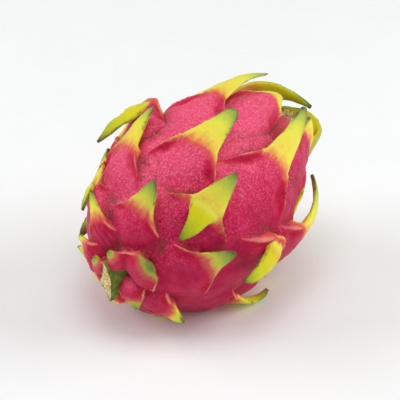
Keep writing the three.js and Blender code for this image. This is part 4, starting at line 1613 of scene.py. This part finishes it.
@dataclass
class Rind:
    """The rind with every scale, grown together as one closed skin.

    Each of its dents is given as its height, its size and how far its grain is moved.
    """

    flesh: Flesh
    lie: Lie
    voxel: float = 0.45
    most_faces: int = 190_000
    dents: tuple[tuple[float, float, float], ...] = ((0.6, 14.0, 0.0), (0.3, 5.5, 40.0), (0.09, 2.2, -60.0))
    smooth: float = 0.12  # share by which the whole skin is softened in a round
    seam_smooth: float = 0.5  # and the creases between scales on top of it
    fold_smooth: float = 0.9  # and the corners where blades meet
    fold_rounds: int = 90

    def grown(self) -> Surface:
        """The core and every scale, still overlapping, with their marks.

        Returns:
            One surface of all the parts.
        """
        grower = Grower(self.flesh)
        parts = [self.flesh.core()]
        for key, scale in enumerate(SCALES.values()):
            parts += grower.scale(scale, key + 1)
        return Surface.joined(parts)

    @staticmethod
    def meeting(skin: Surface, edges: Array) -> Array:
        """1 at the points where two scales meet, and 0 elsewhere.

        Args:
            skin: The closed skin with its marks.
            edges: Its pairs of neighbours.

        Returns:
            One number for each point.
        """
        owner = skin.marks["lay"][:, 2]
        meet = np.zeros(len(skin.points))
        meet[edges[np.abs(owner[edges[:, 0]] - owner[edges[:, 1]]) > 1.0].ravel()] = 1.0
        return meet

    def joined(self, source: Surface) -> Surface:
        """One closed skin round all the overlapping parts, softened where scales and blades meet.

        Args:
            source: The overlapping parts.

        Returns:
            The skin.
        """
        skin = through_modifier(source, "REMESH", mode="VOXEL", voxel_size=self.voxel)
        edges = skin.edges()
        skin = self.marked(skin, source)
        meet = ease(spread(self.meeting(skin, edges), edges, 0.7, 10) * 4.0)
        pink = step_up(skin.marks["ripe"], 0.0, -0.3)
        skin.points = melted(skin.points, edges, self.smooth + self.seam_smooth * meet * pink, 12)
        fold = meet * step_up(skin.marks["ripe"], -0.1, 0.1) * step_up(skin.marks["rim"], 0.2, 1.0)
        fold = step_up(spread(fold, edges, 0.6, 6), 0.05, 0.5)
        skin.points = melted(skin.points, edges, self.fold_smooth * fold, self.fold_rounds)
        return skin

    def uneven(self, skin: Surface) -> Surface:
        """Small dents and swellings, as nothing grown is quite smooth.

        Args:
            skin: The closed skin.

        Returns:
            The skin, moved along its normals.
        """
        grain = Grain(SEED + 1)
        height = sum(high * grain.at(skin.points + moved, size) for high, size, moved in self.dents)
        skin.points = skin.points + skin.normals() * height[:, None]
        return skin

    def marked(self, skin: Surface, source: Surface) -> Surface:
        """The skin with each mark read off the nearest place of the overlapping parts.

        Args:
            skin: The closed skin.
            source: The overlapping parts with their marks.

        Returns:
            The skin with marks.
        """
        tree = BVHTree.FromPolygons(source.points.tolist(), source.faces.tolist())
        hits = [tree.find_nearest(p) for p in skin.points.tolist()]
        where = np.array([h[0][:] for h in hits])
        face = source.faces[np.array([h[2] for h in hits])]
        a, b, c = (source.points[face[:, k]] for k in range(3))
        e0, e1, e2 = b - a, c - a, where - a
        d00, d01, d11 = (np.einsum("ij,ij->i", x, y) for x, y in ((e0, e0), (e0, e1), (e1, e1)))
        d20, d21 = (np.einsum("ij,ij->i", e2, y) for y in (e0, e1))
        area = d00 * d11 - d01 * d01
        area = np.where(np.abs(area) < 1e-12, 1.0, area)
        v = np.clip((d11 * d20 - d01 * d21) / area, 0, 1)
        w = np.clip((d00 * d21 - d01 * d20) / area, 0, 1)
        shares = np.stack([1 - v - w, v, w], axis=1)
        for key, values in source.marks.items():
            picked = values[face]
            weights = shares if picked.ndim == 2 else shares[:, :, None]
            skin.marks[key] = (picked * weights).sum(1)
        return skin

    def relief(self, skin: Surface) -> Surface:
        """Adds the marks that come from the shape: seams, valleys for painted shade and pores, crests for a
        painted highlight, and painted top light on the upper side.

        Args:
            skin: The closed skin with its first marks.

        Returns:
            The skin with every mark.
        """
        edges = skin.edges()
        normals = skin.normals()
        near = spread(skin.points, edges, 0.7, 6)
        wide = spread(near, edges, 0.8, 60)
        close = np.einsum("ij,ij->i", near - skin.points, normals)
        broad = np.einsum("ij,ij->i", wide - skin.points, normals)
        meet = ease(spread(self.meeting(skin, edges), edges, 0.5, 1) * 3.0)
        skin.marks["seam"] = meet * step_up(close, 0.0, 0.05) * step_up(skin.marks["ripe"], 0.0, -0.3)
        # valleys: concave places, darkened there as painted shade and where pale pores gather
        skin.marks["valley"] = spread(step_up(broad, 0.05, 1.1), edges, 0.5, 2)
        # crests: convex places, painted lighter as a highlight
        skin.marks["crest_highlight"] = spread(step_up(-close, 0.03, 0.16), edges, 0.5, 1)
        # painted top light: how far each place faces up as the fruit lies, from smoothed normals
        up = spread(self.lie.tipped(normals), edges, 0.7, 8)[:, 2]
        skin.marks["painted_top_light"] = step_up(up, -0.1, 1.0)
        for key in ("ripe", "rim", "under"):
            skin.marks[key] = spread(skin.marks[key], edges, 0.5, 2)
        return skin

    def settled(self, skin: Surface) -> Surface:
        """The skin as it lies, pressed flat where it touches the table.

        Args:
            skin: The skin along the fruit's axis.

        Returns:
            The skin on the table.
        """
        skin.points = self.lie.place(skin.points)
        skin.points[:, 2] = np.maximum(skin.points[:, 2], 0.0)
        return skin

    def build(self, effects: Effects) -> None:
        """Makes the rind and puts it into the scene.

        Args:
            effects: The shared effects.
        """
        source = self.grown()
        skin = self.uneven(self.joined(source))
        LOG.info("rind joined: %d triangles", len(skin.faces))
        share = min(1.0, self.most_faces / len(skin.faces))
        skin = through_modifier(skin, "DECIMATE", ratio=share)
        skin = self.relief(self.marked(skin, source))
        show(self.settled(skin), "rind", "fruit", RindFinish(effects).build())


@dataclass
class StemStub:
    """The cut end of the three-ribbed cactus stem, with a green skin and a fibrous cream core.

    The outline is given as angles in degrees and distances from the axis: three ribs and the hollows between.
    """

    lie: Lie
    outline: tuple[tuple[float, float], ...] = (
        (356, 11.5),
        (12, 8.0),
        (40, 5.0),
        (90, 4.0),
        (140, 4.6),
        (166, 8.0),
        (178, 11.5),
        (192, 7.0),
        (225, 5.2),
        (268, 7.4),
        (300, 5.0),
        (340, 7.0),
    )
    root_at: float = -49.0
    cut_at: float = -61.5
    slope: float = 0.1  # of the cut, from top to bottom
    yaw: float = -0.12  # of the cut, from side to side
    tilt: float = 3.0  # how far its end leans to one side
    narrowing: float = 0.5  # share by which its sides close in
    bevel: float = 0.35  # of the cut's rim
    dip: float = 0.9  # of the core's middle
    around: int = 144

    def reach(self, angles: Array) -> Array:
        """How far the outline stands from the axis at angles in degrees.

        Args:
            angles: Evenly spaced angles, once round.

        Returns:
            One distance for each angle.
        """
        given = sorted((a % 360.0, r) for a, r in self.outline)
        a = np.array([given[-1][0] - 360.0] + [g[0] for g in given] + [given[0][0] + 360.0])
        r = np.array([given[-1][1]] + [g[1] for g in given] + [given[0][1]])
        sharp = np.interp(angles, a, r)
        window = np.hanning(9) / np.hanning(9).sum()
        return np.convolve(np.concatenate([sharp[-6:], sharp, sharp[:6]]), window, "same")[6:-6]

    def surface(self) -> Surface:
        """The closed shape, with marks for the cut face.

        Returns:
            The surface along the fruit's axis.
        """
        angles = np.linspace(0, 360, self.around + 1)[:-1]
        reach = self.reach(angles)
        grain = Grain(SEED + 3)
        a = np.radians(angles)
        rings, cut = [], []

        def ring(x: float, share: float, face: float, rough: float) -> None:
            """Adds one ring of points.

            Args:
                x: Its station.
                share: Its size against the outline.
                face: 0 on the skin, up to 1 in the middle of the cut.
                rough: The height of the torn fibres.
            """
            r = reach * share
            up = r * np.cos(a)
            down = (self.root_at - x) / (self.root_at - self.cut_at)
            side = -r * np.sin(a) * (1.0 - self.narrowing * down)
            along = x + down * (self.slope * up + self.yaw * side)
            points = np.stack([along, side + self.tilt * down, up], 1)
            fibre = points * [0.4, 1, 1]
            points[:, 0] -= rough * (grain.at(fibre, 1.3) + 0.6 * grain.at(fibre, 0.6))
            rings.append(points)
            cut.append(np.full(len(a), face))

        for k in np.linspace(0, 1, 20):
            x = mix(self.root_at, self.cut_at + self.bevel, k)
            ring(float(x), float(np.interp(k, [0, 0.45, 1], [0.9, 1.0, 0.95])), 0.0, 0.0)
        ring(self.cut_at + 0.08, 0.93, 0.15, 0.1)
        for share in np.linspace(0.95, 0.04, 22):
            dip = self.dip * (1.0 - share) ** 0.7
            ring(self.cut_at + dip, 0.93 * float(share), 1.0 - float(share) * 0.8, 0.55)
        return tube(np.array(rings), {"cut": np.array(cut)})

    def material(self, effects: Effects) -> bpy.types.Material:
        """Green skin round the sides and a dry fibrous face where it was cut.

        Args:
            effects: The shared effects.

        Returns:
            The material.
        """
        material, graph, place = blank("stem")
        cut = graph.mark("cut")
        stain = effects.place(graph, Effect.STAIN, "Stain", where=place, size=4.0, cover=0.46)
        greens = [(0.3, (74, 96, 20)), (0.55, (110, 136, 32)), (0.75, (146, 162, 52))]
        skin = graph.wash(graph.ladder(graph.noise(place, 2.4, 3.0), greens), (140, 118, 60), stain, 0.4)
        strand = effects.place(graph, Effect.FIBRES, "Streaks", where=place, width=0.5, length=2.2)
        face = graph.ladder(strand, [(0.3, (186, 146, 76)), (0.48, (242, 214, 148)), (0.66, (254, 240, 198))])
        face = graph.wash(face, (150, 140, 70), stain, 0.5)
        edge = graph.span(cut, 0.12, 0.34)
        colour = graph.blend(edge, skin, face)
        height = graph.maths("ADD", strand, graph.noise(place, 0.7, 3.0))
        finish = Finish(roughness=0.5, specular=0.4, relief=0.25)
        rough = graph.maths("MULTIPLY_ADD", edge, 0.35, finish.roughness)
        finish.shader(graph, colour, rough, height)
        return material

    def build(self, effects: Effects) -> None:
        """Makes the stub and puts it into the scene.

        Args:
            effects: The shared effects.
        """
        surface = self.surface()
        surface.points = self.lie.place(surface.points)
        show(surface, "stem", "stem_stub", self.material(effects))


@dataclass
class FlowerRemains:
    """The withered flower in the crown hollow: a crumpled cup with a frayed lip.

    Its profile is given as shares of its length, shares of its radius and how crumpled it is there.
    """

    lie: Lie
    profile: tuple[tuple[float, float, float], ...] = (
        (0.0, 0.82, 0.02),
        (0.2, 0.94, 0.05),
        (0.5, 0.72, 0.12),
        (0.78, 0.86, 0.2),
        (1.0, 1.2, 0.26),
    )
    root_at: float = 40.8
    long: float = 17.5
    radius: float = 5.8
    wall: float = 0.9
    lean: float = 20.0  # of its lip, in degrees
    frayed: float = 0.18  # height of the fine unevenness
    around: int = 168

    def surface(self) -> Surface:
        """The closed shape, with marks for its depth.

        Returns:
            The surface along the fruit's axis.
        """
        a = np.linspace(0, 2 * math.pi, self.around + 1)[:-1]
        grain = Grain(SEED + 5)
        stations, shares, crumples = np.array(self.profile).T
        rings, inner = [], []

        def ring(t: float, thin: float, inside: float) -> None:
            """Adds one ring of points.

            Args:
                t: Its share of the length.
                thin: How far it stands inside the outer face.
                inside: 1 on the inner face.
            """
            along = t * self.long
            crumple = float(np.interp(t, stations, crumples))
            lean = math.radians(self.lean) * min(max(t, 0.0), 1.0)
            waves = np.sin(3 * a + 0.6 + 0.12 * along) + 0.5 * np.sin(7 * a) + 0.3 * np.sin(13 * a + t)
            fold = crumple * waves
            r = self.radius * float(np.interp(t, stations, shares)) * (1 + fold) - thin
            off = along * math.sin(lean)
            fray = ease((t - 0.8) * 5) * (1.2 * np.sin(9 * a + 1) * np.sin(4 * a) + 0.8 * np.sin(17 * a))
            x = self.root_at + along * math.cos(lean) + 0.48 * fold * along + fray
            points = np.stack([x, -r * np.sin(a) * 0.86 - 1.2 * off, r * np.cos(a) - 0.25 * off], 1)
            points += (grain.at(points, 1.1) * self.frayed)[:, None]
            rings.append(points)
            inner.append(np.full(len(a), inside))

        for t in np.linspace(0.03, 1.0, 26):
            ring(float(t), 0.0, 0.0)
        for t in np.linspace(1.0, 0.42, 18):
            ring(float(t), self.wall, 1.0)
        return tube(np.array(rings), {"inner": np.array(inner)})

    def material(self, effects: Effects) -> bpy.types.Material:
        """Dry tan tissue with darker folds.

        Args:
            effects: The shared effects.

        Returns:
            The material.
        """
        material, graph, place = blank("dried_flower")
        strand = effects.place(graph, Effect.FIBRES, "Streaks", where=place, width=0.7, length=4.0)
        tans = [(0.28, (150, 112, 62)), (0.5, (206, 172, 112)), (0.72, (236, 212, 160))]
        colour = graph.ladder(strand, tans)
        stain = effects.place(graph, Effect.STAIN, "Stain", where=place, size=3.0, cover=0.42)
        colour = graph.wash(colour, (116, 74, 40), stain, 0.6)
        colour = graph.wash(colour, (110, 70, 40), graph.mark("inner"), 0.5)
        height = graph.maths("ADD", strand, graph.noise(place, 0.5, 3.0))
        finish = Finish(roughness=0.8, specular=0.25, relief=0.22)
        finish.shader(graph, colour, finish.roughness, height)
        return material

    def build(self, effects: Effects) -> None:
        """Makes the remains and puts them into the scene.

        Args:
            effects: The shared effects.
        """
        surface = self.surface()
        surface.points = self.lie.place(surface.points)
        show(surface, "dried_flower", "flower_remains", self.material(effects))


def towards(azimuth: float, elevation: float) -> Vector:
    """The direction of a place round the fruit, counted in degrees as the camera's own."""
    a, e = math.radians(azimuth), math.radians(elevation)
    return Vector((math.sin(a) * math.cos(e), -math.cos(a) * math.cos(e), math.sin(e)))


@dataclass(frozen=True)
class Lamp:
    """A soft square light: power in watts, side in metres, turn from the camera and elevation in degrees."""

    name: str
    power: float
    side: float
    turn: float
    elevation: float


@dataclass
class Studio:
    """The pale table, the soft lights and the camera. Distances are in metres."""

    lie: Lie
    azimuth: float = -53.0  # of the camera, in degrees
    elevation: float = 30.0
    distance: float = 0.7
    focal: float = 148.05  # in millimetres
    aim_right: float = -0.00064  # how far the aim stands from the fruit's middle
    aim_up: float = -0.00149
    table_size: float = 6.0
    table_lines: int = 41
    table_drop: float = 0.00005  # keeps the table just under the fruit
    lamp_distance: float = 1.3
    lamps: tuple[Lamp, ...] = (
        Lamp("top", 5.0, 0.8, 0.0, 86.0),
        Lamp("left", 7.6, 0.9, -98.0, 31.0),
        Lamp("right", 8.8, 0.9, 94.0, 29.0),
        Lamp("front", 2.4, 0.9, 0.0, 4.0),
    )
    room_light: float = 0.34

    def camera(self) -> None:
        """Sets the camera on the fruit."""
        back = towards(self.azimuth, self.elevation)
        right = towards(self.azimuth + 90.0, 0.0)
        up = back.cross(right)
        heart = Vector((-self.lie.middle_x, -self.lie.middle_y, self.lie.height)) * MM
        aim = heart + right * self.aim_right + up * self.aim_up
        data = bpy.data.cameras.new("camera")
        data.lens = self.focal
        data.sensor_width = 36.0
        data.clip_start = 0.01
        data.clip_end = 50.0
        camera = bpy.data.objects.new("camera", data)
        camera.location = aim + back * self.distance
        camera.rotation_euler = back.to_track_quat("Z", "Y").to_euler()
        bpy.context.scene.collection.objects.link(camera)
        bpy.context.scene.camera = camera

    def table(self) -> None:
        """Lays the pale table, finely divided and with a faint grain."""
        n = self.table_lines
        line = np.linspace(-self.table_size / 2, self.table_size / 2, n)
        x, y = np.meshgrid(line, line, indexing="ij")
        points = np.stack([x, y, np.full_like(x, -self.table_drop)], axis=-1).reshape(-1, 3)
        index = np.arange(n * n).reshape(n, n)
        a, b, c, d = (s.ravel() for s in (index[:-1, :-1], index[1:, :-1], index[1:, 1:], index[:-1, 1:]))
        faces = np.concatenate([np.stack([a, b, c], 1), np.stack([a, c, d], 1)])
        floor = bpy.data.objects.new("table", Surface(points, faces).mesh("table"))
        material, graph, place = blank("table")
        whites = [(0.3, (247, 249, 249)), (0.7, (249, 251, 251))]
        colour = graph.ladder(graph.noise(place, 30.0, 3.0), whites)
        finish = Finish(roughness=0.6, specular=0.2, relief=0.02)
        finish.shader(graph, colour, finish.roughness, graph.noise(place, 0.5, 2.0))
        floor.data.materials.append(material)
        bpy.context.scene.collection.objects.link(floor)

    def hang(self, lamp: Lamp) -> None:
        """Hangs one light so that it faces the fruit.

        Args:
            lamp: The light.
        """
        way = towards(self.azimuth + lamp.turn, lamp.elevation)
        data = bpy.data.lights.new(lamp.name, "AREA")
        data.shape = "SQUARE"
        data.size = lamp.side
        data.energy = lamp.power
        light = bpy.data.objects.new(lamp.name, data)
        light.location = way * self.lamp_distance
        light.rotation_euler = way.to_track_quat("Z", "Y").to_euler()
        bpy.context.scene.collection.objects.link(light)

    def build(self) -> None:
        """Sets up everything round the fruit."""
        self.camera()
        self.table()
        for lamp in self.lamps:
            self.hang(lamp)
        world = bpy.data.worlds.new("room")
        world.use_nodes = True
        background = world.node_tree.nodes["Background"]
        background.inputs["Color"].default_value = (1.0, 1.0, 1.0, 1.0)
        background.inputs["Strength"].default_value = self.room_light
        bpy.context.scene.world = world
        bpy.context.scene.view_settings.view_transform = "Standard"


def main() -> None:
    """Builds the fruit and its setting piece by piece."""
    logging.basicConfig(level=logging.INFO, format="%(message)s")
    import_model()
    lie = Lie()
    effects = Effects()
    Rind(Flesh(), lie).build(effects)
    StemStub(lie).build(effects)
    FlowerRemains(lie).build(effects)
    Studio(lie).build()


if __name__ == "__main__":
    main()
